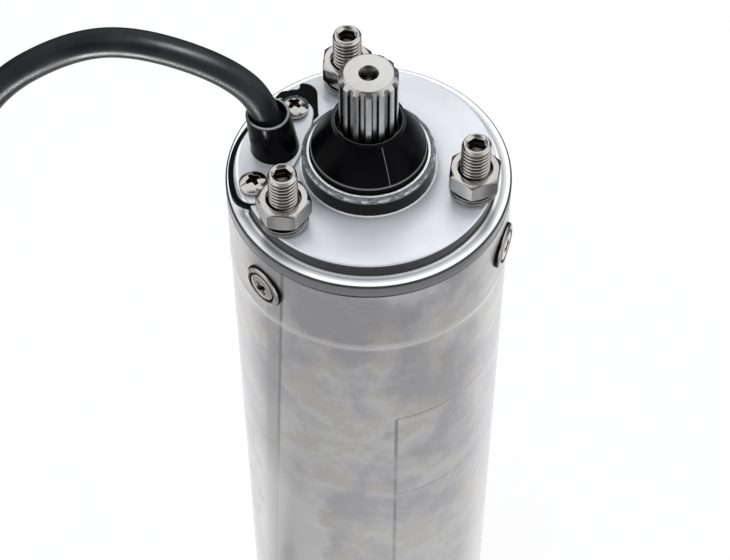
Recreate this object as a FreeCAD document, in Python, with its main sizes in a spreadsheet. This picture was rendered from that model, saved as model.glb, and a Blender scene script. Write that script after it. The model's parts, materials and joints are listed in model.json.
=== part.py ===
import FreeCAD, Part
import math
import os
import re
import Sketcher

# Upper frame of a 75 mm submersible borehole motor, built as its separate pieces.
# Origin at the centre of the bottom face, Z up along the shaft, lead on the -X side.

# Driving sizes, in millimetres and degrees
SIZES = {
    # overall and casing
    "body_height": 330.0,
    "casing_od": 75.0,
    "casing_wall": 1.5,
    "rim_height": 4.0,
    "rim_round": 0.7,
    "bead_depth": 25.3,
    "bead_rise": 0.3,
    "bead_width": 3.2,
    "bead_flat": 1.0,
    # clearances
    "fit_gap": 0.05,
    "run_gap": 0.3,
    "seal_gap": 0.1,
    # top cover
    "plate_rise": 3.7,
    "rim_land": 4.1,
    "plate_round": 0.7,
    "foot_round": 0.5,
    # studs, nuts and spring washers
    "stud_circle": 57.2,
    "stud_count": 3,
    "stud_azimuth": 221.4,
    "stud_major": 8.0,
    "stud_core": 7.2,
    "stud_rise": 22.2,
    "stud_depth": 12.0,
    "stud_chamfer": 0.7,
    "thread_pitch": 1.25,
    "thread_depth": 0.65,
    "thread_crest": 0.1,
    "thread_turns": 7,
    "socket_flats": 4.0,
    "socket_depth": 4.2,
    "nut_flats": 13.0,
    "nut_height": 6.5,
    "nut_turn": 48.6,
    "nut_bevel": 0.55,
    "washer_od": 12.6,
    "washer_id": 8.4,
    "washer_thick": 2.1,
    "washer_split": 1.4,
    # shaft seal housing
    "collar_od": 34.8,
    "collar_id": 30.8,
    "collar_rise": 5.0,
    "collar_round": 0.35,
    "socket_od": 34.4,
    "housing_depth": 14.0,
    "housing_floor": 2.0,
    "housing_bore": 19.0,
    "seal_chamber": 26.0,
    "slinger_well": 7.7,
    # shaft seal
    "lip_seal_height": 6.0,
    "lip_width": 1.0,
    "seat_height": 4.0,
    "seat_id": 17.8,
    "face_od": 23.2,
    "face_height": 3.0,
    "bellows_od": 22.0,
    # sand slinger
    "hub_rise": 5.0,
    "hub_od": 19.8,
    "skirt_wall": 1.6,
    "skirt_low": 7.5,
    "skirt_high": 11.6,
    "under_rise": 11.0,
    "lip_rise": 21.7,
    "lip_od": 19.0,
    "lip_thick": 0.9,
    "neck_od": 18.0,
    "lip_id": 17.3,
    "lip_depth": 2.9,
    # shaft
    "shaft_rise": 38.7,
    "spline_start": 19.5,
    "spline_major": 15.6,
    "spline_root": 13.7,
    "spline_teeth": 14,
    "spline_gap_top": 2.05,
    "spline_gap_root": 1.15,
    "spline_chamfer": 1.3,
    "seal_journal": 16.0,
    "bearing_journal": 17.0,
    "shoulder_od": 22.0,
    "shoulder_width": 5.0,
    "rotor_journal": 20.0,
    "centre_mouth": 4.9,
    "centre_drill": 2.0,
    "centre_cone": 2.5,
    "centre_depth": 5.5,
    "shaft_tail": 3.0,
    "tail_chamfer": 0.8,
    "circlip_od": 20.6,
    "circlip_thick": 1.2,
    "circlip_groove": 16.2,
    "circlip_mouth": 4.0,
    # ball bearings
    "upper_bearing_depth": 22.0,
    "lower_bearing_level": 45.0,
    "bearing_od": 40.0,
    "bearing_width": 12.0,
    "ball_size": 6.6,
    "ball_count": 8,
    "race_gap": 0.12,
    "inner_race_wall": 3.5,
    "outer_race_wall": 3.4,
    "cage_wall": 1.5,
    "cage_width": 8.6,
    "preload_height": 1.0,
    "preload_id": 27.0,
    # stator and rotor
    "core_level": 100.0,
    "core_depth": 80.0,
    "stator_bore": 38.6,
    "slot_count": 24,
    "slot_low": 41.0,
    "slot_high": 60.2,
    "slot_low_width": 3.0,
    "slot_high_width": 5.0,
    "slot_mouth": 1.6,
    "slot_lining": 0.2,
    "winding_split": 50.8,
    "winding_gap": 0.4,
    "head_height": 25.0,
    "head_stand": 1.5,
    "head_bevel": 1.6,
    "main_head_gap": 2.5,
    "bar_count": 18,
    "bar_circle": 32.8,
    "bar_size": 3.8,
    "ring_id": 27.0,
    "ring_od": 37.4,
    "ring_height": 9.0,
    # end bells
    "bell_depth": 26.0,
    "web_thick": 16.0,
    "skirt_wall": 2.95,
    "hub_wall": 3.5,
    "web_bore": 28.0,
    "ring_groove_depth": 4.0,
    "ring_section": 1.7,
    "ring_groove_width": 2.4,
    "wire_hole": 7.0,
    "lower_bell_base": 22.0,
    "lower_bell_top": 48.0,
    "lower_web_level": 34.0,
    "lower_web_thick": 6.0,
    "shaft_hole": 22.0,
    "oil_hole": 4.0,
    "oil_circle": 51.0,
    "lower_ring_level": 28.0,
    # bottom cover and pressure compensator
    "floor_thick": 3.0,
    "spigot_wall": 5.95,
    "clamp_height": 2.0,
    "vent_size": 5.0,
    "vent_circle": 28.0,
    "chamber_wall": 7.45,
    "cup_level": 7.0,
    "cup_od": 45.0,
    "cup_wall": 1.2,
    "cup_rim_gap": 0.35,
    "comp_plate_od": 36.0,
    "comp_plate_thick": 1.5,
    "comp_boss_od": 12.0,
    "comp_boss_rise": 2.2,
    # lead flange, gasket and gland
    "flange_reach": 25.0,
    "flange_azimuth": 169.3,
    "flange_turn": 68.7,
    "flange_span": 27.8,
    "flange_end": 5.0,
    "flange_out": 9.8,
    "flange_in": 6.9,
    "gasket_thick": 1.0,
    "gasket_margin": 1.1,
    "well_along": 16.7,
    "well_out": 1.0,
    "well_radius": 6.2,
    "well_drop": 0.9,
    "gland_along": 1.1,
    "gland_out": 0.45,
    "gland_shank": 12.0,
    "gland_base": 12.8,
    "gland_waist": 12.4,
    "gland_foot": 1.3,
    "gland_top": 11.4,
    "gland_height": 13.2,
    "gland_mouth": 9.4,
    "gland_recess": 2.5,
    "flange_screw_head": 7.2,
    "flange_screw_rise": 2.4,
    "flange_screw_round": 1.7,
    "flange_screw_shank": 3.8,
    "flange_screw_depth": 9.0,
    "cross_arm": 3.6,
    "cross_width": 0.95,
    "cross_depth": 1.5,
    # side screws
    "side_depth": 15.3,
    "side_hole": 6.4,
    "side_shank": 4.0,
    "side_length": 8.4,
    "side_head": 9.0,
    "side_seal_thick": 0.6,
    "side_seal_id": 7.8,
    "cup_thick": 0.8,
    "cup_washer_od": 12.4,
    "side_tap_depth": 6.35,
    # lead
    "cable_od": 7.6,
    "wire_od": 2.2,
    "wire_circle": 3.2,
    "wire_count": 4,
    "wire_rise": 0.7,
    "coil_x": -81.0,
    "coil_y": -52.0,
    "coil_inner_turn": 41.8,
    "coil_lift": 1.2,
    "coil_corner": 2.2,
    "tie_width": 9.0,
    "tie_thick": 0.8,
    "tie_gap": 0.3,
    "tail_length": 28.0,
    "core_circle": 4.2,
    "core_length": 16.0,
    "ferrule_od": 2.8,
    "ferrule_length": 8.0,
}

# Levels and radii that several pieces share, as expressions of the sizes above
STEP = "body_height"
PLATE = "(body_height + plate_rise)"
JOINT = "(body_height - rim_height)"
SHELL = "(casing_od / 2)"
BORE = "(casing_od / 2 - casing_wall)"
SPIGOT = "(casing_od / 2 - casing_wall - fit_gap)"
STUD = "(stud_circle / 2)"
STUD_TOP = "(body_height + stud_rise)"
NUT_LOW = "(body_height + plate_rise + washer_thick)"
NUT_TOP = "(body_height + plate_rise + washer_thick + nut_height)"
COLLAR_TOP = "(body_height + plate_rise + collar_rise)"
HOUSING_LOW = "(body_height - housing_depth)"
LIP_SEAL_LOW = "(body_height - housing_depth + housing_floor)"
SEAT_LOW = "(body_height - housing_depth + housing_floor + lip_seal_height)"
FACE_LOW = "(body_height - housing_depth + housing_floor + lip_seal_height + seat_height + seal_gap)"
BELLOWS_LOW = "(" + FACE_LOW + " + face_height)"
HUB_LOW = "(body_height + hub_rise)"
SLINGER = "(collar_id / 2 - run_gap)"
SHAFT_TOP = "(body_height + shaft_rise)"
UPPER_LOW = "(body_height - upper_bearing_depth - bearing_width / 2)"
UPPER_HIGH = "(body_height - upper_bearing_depth + bearing_width / 2)"
LOWER_LOW = "(lower_bearing_level - bearing_width / 2)"
LOWER_HIGH = "(lower_bearing_level + bearing_width / 2)"
SEAT = "(bearing_od / 2 + fit_gap)"
HUB = "(bearing_od / 2 + hub_wall)"
BELL_LOW = "(body_height - rim_height - bell_depth)"
WEB_LOW = "(body_height - rim_height - web_thick)"
CHAMBER = "(casing_od / 2 - casing_wall - fit_gap - chamber_wall)"
MAIN_HEAD = "(casing_od - 2 * casing_wall - 2 * main_head_gap)"
UPPER_RING = "(body_height - rim_height - ring_groove_depth)"
CORE_TOP = "(body_height - core_depth)"
STACK = "(body_height - core_depth - core_level)"
CLAMP_LOW = "(lower_bell_base - clamp_height)"
SIDE_FACE = "(casing_od / 2 + side_seal_thick + cup_thick)"
SIDE_TAP = "(casing_od / 2 - casing_wall - fit_gap - side_tap_depth)"
SIDE_SEAL_FACE = "(casing_od / 2 + side_seal_thick)"
FLANGE_X = "(flange_reach * cos(flange_azimuth))"
FLANGE_Y = "(flange_reach * sin(flange_azimuth))"
GLAND_X = "(" + FLANGE_X + " + gland_along * cos(flange_turn) - gland_out * sin(flange_turn))"
GLAND_Y = "(" + FLANGE_Y + " + gland_along * sin(flange_turn) + gland_out * cos(flange_turn))"
CABLE = "(cable_od / 2)"
COIL_TOP = "(coil_lift + 2 * cable_od)"
TAIL_Y = "(coil_y - coil_inner_turn - cable_od)"
TAIL_Z = "(coil_lift + cable_od / 2)"

# Route of the lead from inside the gland, over its arch and down to the coil on the floor
CABLE_ROUTE = [
    (-24.6, 5.8, 331.0),
    (-25.4, 5.8, 349.0),
    (-35.5, 5.8, 363.5),
    (-58.0, 5.8, 374.5),
    (-75.0, 5.7, 372.2),
    (-96.0, 5.4, 357.0),
    (-111.0, 5.0, 325.0),
    (-118.5, 4.2, 275.0),
    (-124.0, 3.0, 215.0),
    (-130.0, 1.4, 155.0),
    (-131.5, -0.4, 105.0),
    (-128.5, -1.6, 62.0),
    (-118.5, -2.2, 35.0),
    (-101.5, -2.6, 18.5),
    (-81.0, -2.6, 12.6),
]

# Share of the shorter run that a bend of the lead takes up
ARC_SHARE = 0.45
# Lengths closer than this are the same, and volumes closer than this are unchanged
SAME_LENGTH = 1e-4
SAME_VOLUME = 1e-6
# Share by which a tube's volume may differ from its section times its length
TUBE_ERROR = 0.01

doc = FreeCAD.newDocument("borehole_motor")
sheet = doc.addObject("Spreadsheet::Sheet", "sizes")
for row, (alias, value) in enumerate(SIZES.items(), start=1):
    sheet.set("A%d" % row, alias)
    sheet.set("B%d" % row, str(value))
    sheet.setAlias("B%d" % row, alias)
doc.recompute()

PARTS = []


# Expressions and numbers
def bound(text):
    """The expression with each size named as a cell of the sheet."""

    def cell(word):
        return "sizes." + word.group() if word.group() in SIZES else word.group()

    return re.sub(r"[a-z_]+", cell, text)


def number(text):
    """The present value of an expression of the sizes."""
    return float(sheet.evalExpression(text))


# Bodies and sketches
def new_body(label):
    body = doc.addObject("PartDesign::Body", label)
    body.Label = label
    PARTS.append(body)
    return body


def origin_item(body, role):
    return [item for item in body.Origin.OriginFeatures if item.Role == role][0]


def new_sketch(body, name, role, lift=None):
    """A sketch on one of the body's own origin planes, lifted along the plane's normal."""
    sketch = body.newObject("Sketcher::SketchObject", name)
    sketch.AttachmentSupport = [(origin_item(body, role), "")]
    sketch.MapMode = "FlatFace"
    if lift:
        sketch.setExpression("AttachmentOffset.Base.z", bound(lift))
    return sketch


def in_flange_frame(sketch):
    """Moves a sketch on the XY plane to the flange's centre, with its x axis along the flange."""
    sketch.setExpression("AttachmentOffset.Base.x", bound(FLANGE_X))
    sketch.setExpression("AttachmentOffset.Base.y", bound(FLANGE_Y))
    sketch.setExpression("AttachmentOffset.Rotation.Angle", bound("flange_turn"))
    return sketch


def tie_value(sketch, kind, items, text):
    index = sketch.addConstraint(Sketcher.Constraint(kind, *items, number(text)))
    sketch.setExpression("Constraints[%d]" % index, bound(text))


def tie_point(sketch, geometry, end, x, y):
    """Holds one point of a sketch at a place given by two expressions."""
    if x == "0":
        sketch.addConstraint(Sketcher.Constraint("PointOnObject", geometry, end, -2))
    else:
        tie_value(sketch, "DistanceX", (-1, 1, geometry, end), x)
    if y == "0":
        sketch.addConstraint(Sketcher.Constraint("PointOnObject", geometry, end, -1))
    else:
        tie_value(sketch, "DistanceY", (-1, 1, geometry, end), y)


def add_polygon(sketch, points):
    """A closed outline through points that are pairs of expressions."""
    first = sketch.GeometryCount
    places = [FreeCAD.Vector(number(x), number(y), 0) for x, y in points]
    count = len(points)
    for i in range(count):
        sketch.addGeometry(Part.LineSegment(places[i], places[(i + 1) % count]))
    for i in range(count):
        sketch.addConstraint(Sketcher.Constraint("Coincident", first + i, 2, first + (i + 1) % count, 1))
    for i, (x, y) in enumerate(points):
        tie_point(sketch, first + i, 1, x, y)


def add_circle(sketch, x, y, radius):
    place = FreeCAD.Vector(number(x), number(y), 0)
    index = sketch.addGeometry(Part.Circle(place, FreeCAD.Vector(0, 0, 1), number(radius)))
    tie_point(sketch, index, 3, x, y)
    tie_value(sketch, "Radius", (index,), radius)


def add_axis(sketch, x0, y0, x1, y1):
    """A construction line that a feature turns about."""
    start = FreeCAD.Vector(number(x0), number(y0), 0)
    end = FreeCAD.Vector(number(x1), number(y1), 0)
    index = sketch.addGeometry(Part.LineSegment(start, end), True)
    tie_point(sketch, index, 1, x0, y0)
    tie_point(sketch, index, 2, x1, y1)


def hexagon(x, flats, turn):
    """Corners of a hexagon centred on the x axis, as expressions."""
    corner = "(%s / sqrt(3))" % flats
    corners = []
    for k in range(6):
        across = "%s + %s * cos(%s + %d)" % (x, corner, turn, 60 * k)
        up = "%s * sin(%s + %d)" % (corner, turn, 60 * k)
        corners.append((across, up))
    return corners


def cross(x, y):
    """Corners of a cross recess, as expressions."""
    arm = "cross_arm / 2"
    half = "cross_width / 2"
    corners = []
    for a, b in ((arm, half), (half, half), (half, arm)):
        corners.append(("%s + %s" % (x, a), "%s + %s" % (y, b)))
    for a, b in ((half, arm), (half, half), (arm, half)):
        corners.append(("%s - %s" % (x, a), "%s + %s" % (y, b)))
    for a, b in ((arm, half), (half, half), (half, arm)):
        corners.append(("%s - %s" % (x, a), "%s - %s" % (y, b)))
    for a, b in ((half, arm), (half, half), (arm, half)):
        corners.append(("%s + %s" % (x, a), "%s - %s" % (y, b)))
    return corners


def add_oval(sketch, grow):
    """The flange's outline, grown all round: two end arcs joined by two wide arcs, all tangent."""
    half_span = "(flange_span / 2)"
    arcs = []
    for side, apex in ((1, "flange_out"), (-1, "flange_in")):
        radius = "((%s ^ 2 + %s ^ 2 - flange_end ^ 2) / (2 * (%s - flange_end)))" % (half_span, apex, apex)
        centre = "(%s - %s)" % (apex, radius)
        across = "(%s + %s) * %s / (%s - flange_end)" % (radius, grow, half_span, radius)
        up = "(%s - (%s + %s) * %s / (%s - flange_end))" % (centre, radius, grow, centre, radius)
        arcs.append((side, apex, radius, across, up))
    starts = []
    for side, apex, radius, across, up in arcs:
        starts.append(("%d * %s" % (side, across), "%d * %s" % (side, up)))
        starts.append(("%d * %s" % (-side, across), "%d * %s" % (side, up)))
    middles = [
        ("0", "flange_out + %s" % grow),
        ("-1 * (%s + flange_end + %s)" % (half_span, grow), "0"),
        ("0", "-1 * (flange_in + %s)" % grow),
        ("%s + flange_end + %s" % (half_span, grow), "0"),
    ]
    radii = ["%s + %s" % (arcs[0][2], grow), "flange_end + %s" % grow]
    radii += ["%s + %s" % (arcs[1][2], grow), "flange_end + %s" % grow]
    first = sketch.GeometryCount
    for i in range(4):
        places = [starts[i], middles[i], starts[(i + 1) % 4]]
        vectors = [FreeCAD.Vector(number(x), number(y), 0) for x, y in places]
        sketch.addGeometry(Part.Arc(*vectors))
    for i in range(4):
        sketch.addConstraint(Sketcher.Constraint("Coincident", first + i, 2, first + (i + 1) % 4, 1))
    for i in range(4):
        tie_point(sketch, first + i, 1, *starts[i])
        tie_value(sketch, "Radius", (first + i,), radii[i])


# Features
def settle(body, feature, cuts, before):
    """Makes the feature the body's tip and makes sure that it changed the solid the right way."""
    body.Tip = feature
    doc.recompute()
    change = feature.Shape.Volume - before
    if (cuts and change > -SAME_VOLUME) or (not cuts and change < SAME_VOLUME):
        raise ValueError("%s of %s changed the volume by %.6f" % (feature.Name, body.Label, change))
    return feature


def volume_of(body):
    return body.Shape.Volume if body.Tip else 0.0


def turn(body, name, points, axis=None, cuts=False):
    """Turns an outline in the XZ plane about Z or about the given line, adding or cutting."""
    before = volume_of(body)
    sketch = new_sketch(body, name + "_outline", "XZ_Plane")
    add_polygon(sketch, points)
    kind = "PartDesign::Groove" if cuts else "PartDesign::Revolution"
    feature = body.newObject(kind, name)
    feature.Profile = sketch
    if axis:
        add_axis(sketch, *axis)
        feature.ReferenceAxis = (sketch, ["Axis0"])
    else:
        feature.ReferenceAxis = (sketch, ["V_Axis"])
    feature.Angle = 360
    sketch.Visibility = False
    return settle(body, feature, cuts, before)


def upright(x):
    """A vertical turning axis at x."""
    return (x, "0", x, STEP)


def level(z):
    """A radial turning axis at height z."""
    return ("0", z, SHELL, z)


def extrude(body, name, sketch, length, cuts=False, backwards=False):
    before = volume_of(body)
    feature = body.newObject("PartDesign::Pocket" if cuts else "PartDesign::Pad", name)
    feature.Profile = sketch
    feature.setExpression("Length", bound(length))
    feature.Reversed = backwards
    return settle(body, feature, cuts, before)


def drill(body, name, circles, top, depth, flange_frame=False):
    """Round holes from the level top down through depth."""
    sketch = new_sketch(body, name + "_circles", "XY_Plane", top)
    if flange_frame:
        in_flange_frame(sketch)
    for x, y, radius in circles:
        add_circle(sketch, x, y, radius)
    return extrude(body, name, sketch, depth, cuts=True)


def drill_outwards(body, name, levels, radius, start, length):
    """Round holes along +X, from the plane x = start outwards."""
    sketch = new_sketch(body, name + "_circles", "YZ_Plane", start)
    for z in levels:
        add_circle(sketch, "0", z, radius)
    return extrude(body, name, sketch, length, cuts=True, backwards=True)


def repeat_round(body, name, count, features=None, cuts=False):
    """Repeats features, or else the whole body, evenly about Z."""
    before = volume_of(body)
    pattern = body.newObject("PartDesign::PolarPattern", name)
    pattern.Axis = (origin_item(body, "Z_Axis"), [""])
    pattern.Angle = 360
    pattern.setExpression("Occurrences", bound(count))
    if features:
        pattern.Originals = features
    else:
        pattern.TransformMode = "Whole shape"
    return settle(body, pattern, cuts, before)


def repeat_up(body, name, length, count, features=None, cuts=False):
    """Repeats features, or else the whole body, along Z over the given length."""
    before = volume_of(body)
    pattern = body.newObject("PartDesign::LinearPattern", name)
    pattern.Direction = (origin_item(body, "Z_Axis"), [""])
    pattern.setExpression("Length", bound(length))
    pattern.setExpression("Occurrences", bound(count))
    if features:
        pattern.Originals = features
    else:
        pattern.TransformMode = "Whole shape"
    return settle(body, pattern, cuts, before)


def round_rings(body, name, radius, rings, cuts=True):
    """Rounds the circular edges found at the given radii and levels."""
    before = volume_of(body)
    base = body.Tip
    names = []
    for index, edge in enumerate(base.Shape.Edges, start=1):
        for ring_radius, ring_level in rings:
            if not isinstance(edge.Curve, Part.Circle):
                continue
            same_radius = abs(edge.Curve.Radius - number(ring_radius)) < SAME_LENGTH
            same_level = abs(edge.Curve.Center.z - number(ring_level)) < SAME_LENGTH
            if same_radius and same_level:
                names.append("Edge%d" % index)
    fillet = body.newObject("PartDesign::Fillet", name)
    fillet.Base = (base, names)
    fillet.setExpression("Radius", bound(radius))
    return settle(body, fillet, cuts, before)


def face_studs(body):
    """Turns the body so that its +X side lies at the first stud's azimuth."""
    body.setExpression("Placement.Rotation.Angle", bound("stud_azimuth"))


# Casing, covers and end bells
def make_casing():
    body = new_body("casing")
    low = "rim_height"
    outline = [(BORE, low), (SHELL, low)]
    for centre in ("bead_depth", "(body_height - bead_depth)"):
        outline.append((SHELL, centre + " - bead_width / 2"))
        outline.append((SHELL + " + bead_rise", centre + " - bead_flat / 2"))
        outline.append((SHELL + " + bead_rise", centre + " + bead_flat / 2"))
        outline.append((SHELL, centre + " + bead_width / 2"))
    outline += [(SHELL, JOINT), (BORE, JOINT)]
    turn(body, "casing_tube", outline)
    levels = ["side_depth", "body_height - side_depth"]
    holes = drill_outwards(body, "casing_holes", levels, "side_hole / 2", "0", "casing_od")
    repeat_round(body, "casing_hole_ring", "stud_count", [holes], cuts=True)
    face_studs(body)


def make_top_cover():
    body = new_body("top_cover")
    bore = "(socket_od / 2 + fit_gap)"
    plate = "(casing_od / 2 - rim_land)"
    outline = [(bore, JOINT), (SHELL, JOINT), (SHELL, STEP), (plate, STEP), (plate, PLATE), (bore, PLATE)]
    turn(body, "cover_blank", outline)
    round_rings(body, "cover_rim_round", "rim_round", [(SHELL, STEP)])
    round_rings(body, "cover_plate_round", "plate_round", [(plate, PLATE)])
    round_rings(body, "cover_foot_round", "foot_round", [(plate, STEP)], cuts=False)
    stud_x = STUD + " * cos(stud_azimuth)"
    stud_y = STUD + " * sin(stud_azimuth)"
    depth = "plate_rise + rim_height"
    holes = drill(body, "cover_stud_holes", [(stud_x, stud_y, "stud_core / 2 + fit_gap")], PLATE, depth)
    repeat_round(body, "cover_stud_ring", "stud_count", [holes], cuts=True)
    recess = in_flange_frame(new_sketch(body, "cover_recess_outline", "XY_Plane", PLATE))
    add_oval(recess, "gasket_margin")
    extrude(body, "cover_recess", recess, "plate_rise", cuts=True)
    well = [("well_along", "well_out", "well_radius")]
    drill(body, "cover_well", well, PLATE, "plate_rise", flange_frame=True)
    holes = [("gland_along", "gland_out", "gland_shank / 2 + fit_gap")]
    for end in ("flange_span / 2", "-1 * flange_span / 2"):
        holes.append((end, "0", "flange_screw_shank / 2 + fit_gap"))
    drill(body, "cover_lead_holes", holes, STEP, "rim_height", flange_frame=True)


def make_upper_end_bell():
    body = new_body("upper_end_bell")
    bore = "(socket_od / 2 + fit_gap)"
    skirt = "(%s - skirt_wall)" % SPIGOT
    outline = [
        (bore, JOINT),
        (SPIGOT, JOINT),
        (SPIGOT, BELL_LOW),
        (skirt, BELL_LOW),
        (skirt, WEB_LOW),
        (HUB, WEB_LOW),
        (HUB, BELL_LOW),
        (SEAT, BELL_LOW),
        (SEAT, UPPER_HIGH),
        ("web_bore / 2", UPPER_HIGH),
        ("web_bore / 2", HOUSING_LOW),
        (bore, HOUSING_LOW),
    ]
    turn(body, "upper_bell_blank", outline)
    cut_ring_groove(body, "upper_ring_groove", UPPER_RING)
    depth = "stud_depth - rim_height + fit_gap"
    holes = drill(body, "upper_bell_taps", [(STUD, "0", "stud_core / 2 + fit_gap")], JOINT, depth)
    repeat_round(body, "upper_bell_tap_ring", "stud_count", [holes], cuts=True)
    levels = ["body_height - side_depth"]
    side = drill_outwards(body, "upper_side_taps", levels, "side_shank / 2 + fit_gap", SIDE_TAP, SHELL)
    repeat_round(body, "upper_side_tap_ring", "stud_count", [side], cuts=True)
    x = "(%s * cos(stud_azimuth) + %s * sin(stud_azimuth))" % (GLAND_X, GLAND_Y)
    y = "(%s * cos(stud_azimuth) - %s * sin(stud_azimuth))" % (GLAND_Y, GLAND_X)
    drill(body, "upper_wire_hole", [(x, y, "wire_hole / 2")], JOINT, "bell_depth")
    screws = []
    for side_sign in ("+", "-"):
        along_x = "(%s %s flange_span / 2 * cos(flange_turn))" % (FLANGE_X, side_sign)
        along_y = "(%s %s flange_span / 2 * sin(flange_turn))" % (FLANGE_Y, side_sign)
        local_x = "(%s * cos(stud_azimuth) + %s * sin(stud_azimuth))" % (along_x, along_y)
        local_y = "(%s * cos(stud_azimuth) - %s * sin(stud_azimuth))" % (along_y, along_x)
        screws.append((local_x, local_y, "flange_screw_shank / 2 + fit_gap"))
    tap_depth = "flange_screw_depth - rim_height - plate_rise + fit_gap"
    drill(body, "upper_flange_taps", screws, JOINT, tap_depth)
    face_studs(body)


def cut_ring_groove(body, name, z):
    floor = "(casing_od / 2 - casing_wall - ring_section - fit_gap)"
    low = z + " - ring_groove_width / 2"
    high = z + " + ring_groove_width / 2"
    turn(body, name, [(floor, low), (SHELL, low), (SHELL, high), (floor, high)], cuts=True)


def make_lower_end_bell():
    body = new_body("lower_end_bell")
    web_top = "(lower_web_level + lower_web_thick)"
    skirt = "(%s - skirt_wall)" % SPIGOT
    seat_floor = "(%s - preload_height)" % LOWER_LOW
    outline = [
        (CHAMBER, "lower_bell_base"),
        (SPIGOT, "lower_bell_base"),
        (SPIGOT, "lower_bell_top"),
        (skirt, "lower_bell_top"),
        (skirt, web_top),
        (HUB, web_top),
        (HUB, LOWER_HIGH),
        (SEAT, LOWER_HIGH),
        (SEAT, seat_floor),
        ("shaft_hole / 2", seat_floor),
        ("shaft_hole / 2", "lower_web_level"),
        (CHAMBER, "lower_web_level"),
    ]
    turn(body, "lower_bell_blank", outline)
    cut_ring_groove(body, "lower_ring_groove", "lower_ring_level")
    holes = drill(body, "oil_holes", [("oil_circle / 2", "0", "oil_hole / 2")], web_top, "lower_web_thick")
    repeat_round(body, "oil_hole_ring", "stud_count", [holes], cuts=True)


def make_bottom_cover():
    body = new_body("bottom_cover")
    outline = [
        ("0", "0"),
        (SHELL, "0"),
        (SHELL, "rim_height"),
        (SPIGOT, "rim_height"),
        (SPIGOT, CLAMP_LOW),
        (SPIGOT + " - spigot_wall", CLAMP_LOW),
        (SPIGOT + " - spigot_wall", "floor_thick"),
        ("0", "floor_thick"),
    ]
    turn(body, "bottom_blank", outline)
    round_rings(body, "bottom_rim_round", "rim_round", [(SHELL, "0")])
    levels = ["side_depth"]
    side = drill_outwards(body, "bottom_side_taps", levels, "side_shank / 2 + fit_gap", SIDE_TAP, SHELL)
    repeat_round(body, "bottom_side_tap_ring", "stud_count", [side], cuts=True)
    vents = drill(body, "vents", [("vent_circle / 2", "0", "vent_size / 2")], "floor_thick", "floor_thick")
    repeat_round(body, "vent_ring", "stud_count", [vents], cuts=True)
    face_studs(body)


def make_o_ring(label, z):
    ring = doc.addObject("Part::Torus", label)
    ring.Label = label
    ring.setExpression("Radius1", bound("casing_od / 2 - casing_wall - ring_section / 2 - fit_gap / 2"))
    ring.setExpression("Radius2", bound("ring_section / 2"))
    ring.setExpression("Placement.Base.z", bound(z))
    PARTS.append(ring)


# Studs, nuts and spring washers
def make_studs():
    body = new_body("mounting_studs")
    low = "(body_height - stud_depth)"
    core = STUD + " + stud_core / 2"
    major = STUD + " + stud_major / 2"
    shoulder = "(%s + run_gap)" % NUT_TOP
    outline = [
        (STUD, low),
        (core + " - stud_chamfer", low),
        (core, low + " + stud_chamfer"),
        (core, shoulder),
        (major, shoulder),
        (major, STUD_TOP + " - stud_chamfer"),
        (major + " - stud_chamfer", STUD_TOP),
        (STUD, STUD_TOP),
    ]
    turn(body, "stud_blank", outline, upright(STUD))
    middle = "(%s + thread_pitch / 2 + thread_crest)" % shoulder
    half = "(thread_pitch - thread_crest) / 2"
    groove = [
        (major + " + fit_gap", middle + " - " + half),
        (major + " - thread_depth", middle),
        (major + " + fit_gap", middle + " + " + half),
    ]
    cut = turn(body, "thread_groove", groove, upright(STUD), cuts=True)
    repeat_up(body, "thread", "thread_pitch * (thread_turns - 1)", "thread_turns", [cut], cuts=True)
    socket = new_sketch(body, "socket_outline", "XY_Plane", STUD_TOP)
    add_polygon(socket, hexagon(STUD, "socket_flats", "nut_turn"))
    extrude(body, "hex_socket", socket, "socket_depth", cuts=True)
    repeat_round(body, "stud_ring", "stud_count")
    face_studs(body)


def make_nuts():
    body = new_body("stud_nuts")
    sketch = new_sketch(body, "nut_outline", "XY_Plane", NUT_LOW)
    add_polygon(sketch, hexagon(STUD, "nut_flats", "nut_turn"))
    add_circle(sketch, STUD, "0", "stud_core / 2 + fit_gap")
    extrude(body, "nut_blank", sketch, "nut_height")
    inner = STUD + " + nut_flats / 2 - fit_gap"
    outer = STUD + " + nut_flats / sqrt(3) + fit_gap"
    for name, edge, sign in (("nut_top_bevel", NUT_TOP, "-"), ("nut_low_bevel", NUT_LOW, "+")):
        beyond = "+" if sign == "-" else "-"
        outline = [
            (inner, "%s %s fit_gap" % (edge, beyond)),
            (outer, "%s %s fit_gap" % (edge, beyond)),
            (outer, "%s %s nut_bevel" % (edge, sign)),
        ]
        turn(body, name, outline, upright(STUD), cuts=True)
    repeat_round(body, "nut_ring", "stud_count")
    face_studs(body)


def make_spring_washers():
    body = new_body("spring_washers")
    inner = STUD + " + washer_id / 2"
    outer = STUD + " + washer_od / 2"
    outline = [(inner, PLATE), (outer, PLATE), (outer, NUT_LOW), (inner, NUT_LOW)]
    turn(body, "washer_blank", outline, upright(STUD))
    split = new_sketch(body, "split_outline", "XY_Plane", NUT_LOW)
    half = "washer_split / 2"
    corners = [
        (STUD + " + stud_core / 2", "-1 * " + half),
        (outer + " + fit_gap", "-1 * " + half),
        (outer + " + fit_gap", half),
        (STUD + " + stud_core / 2", half),
    ]
    add_polygon(split, corners)
    extrude(body, "washer_split_cut", split, "washer_thick", cuts=True)
    repeat_round(body, "washer_ring", "stud_count")
    face_studs(body)


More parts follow.
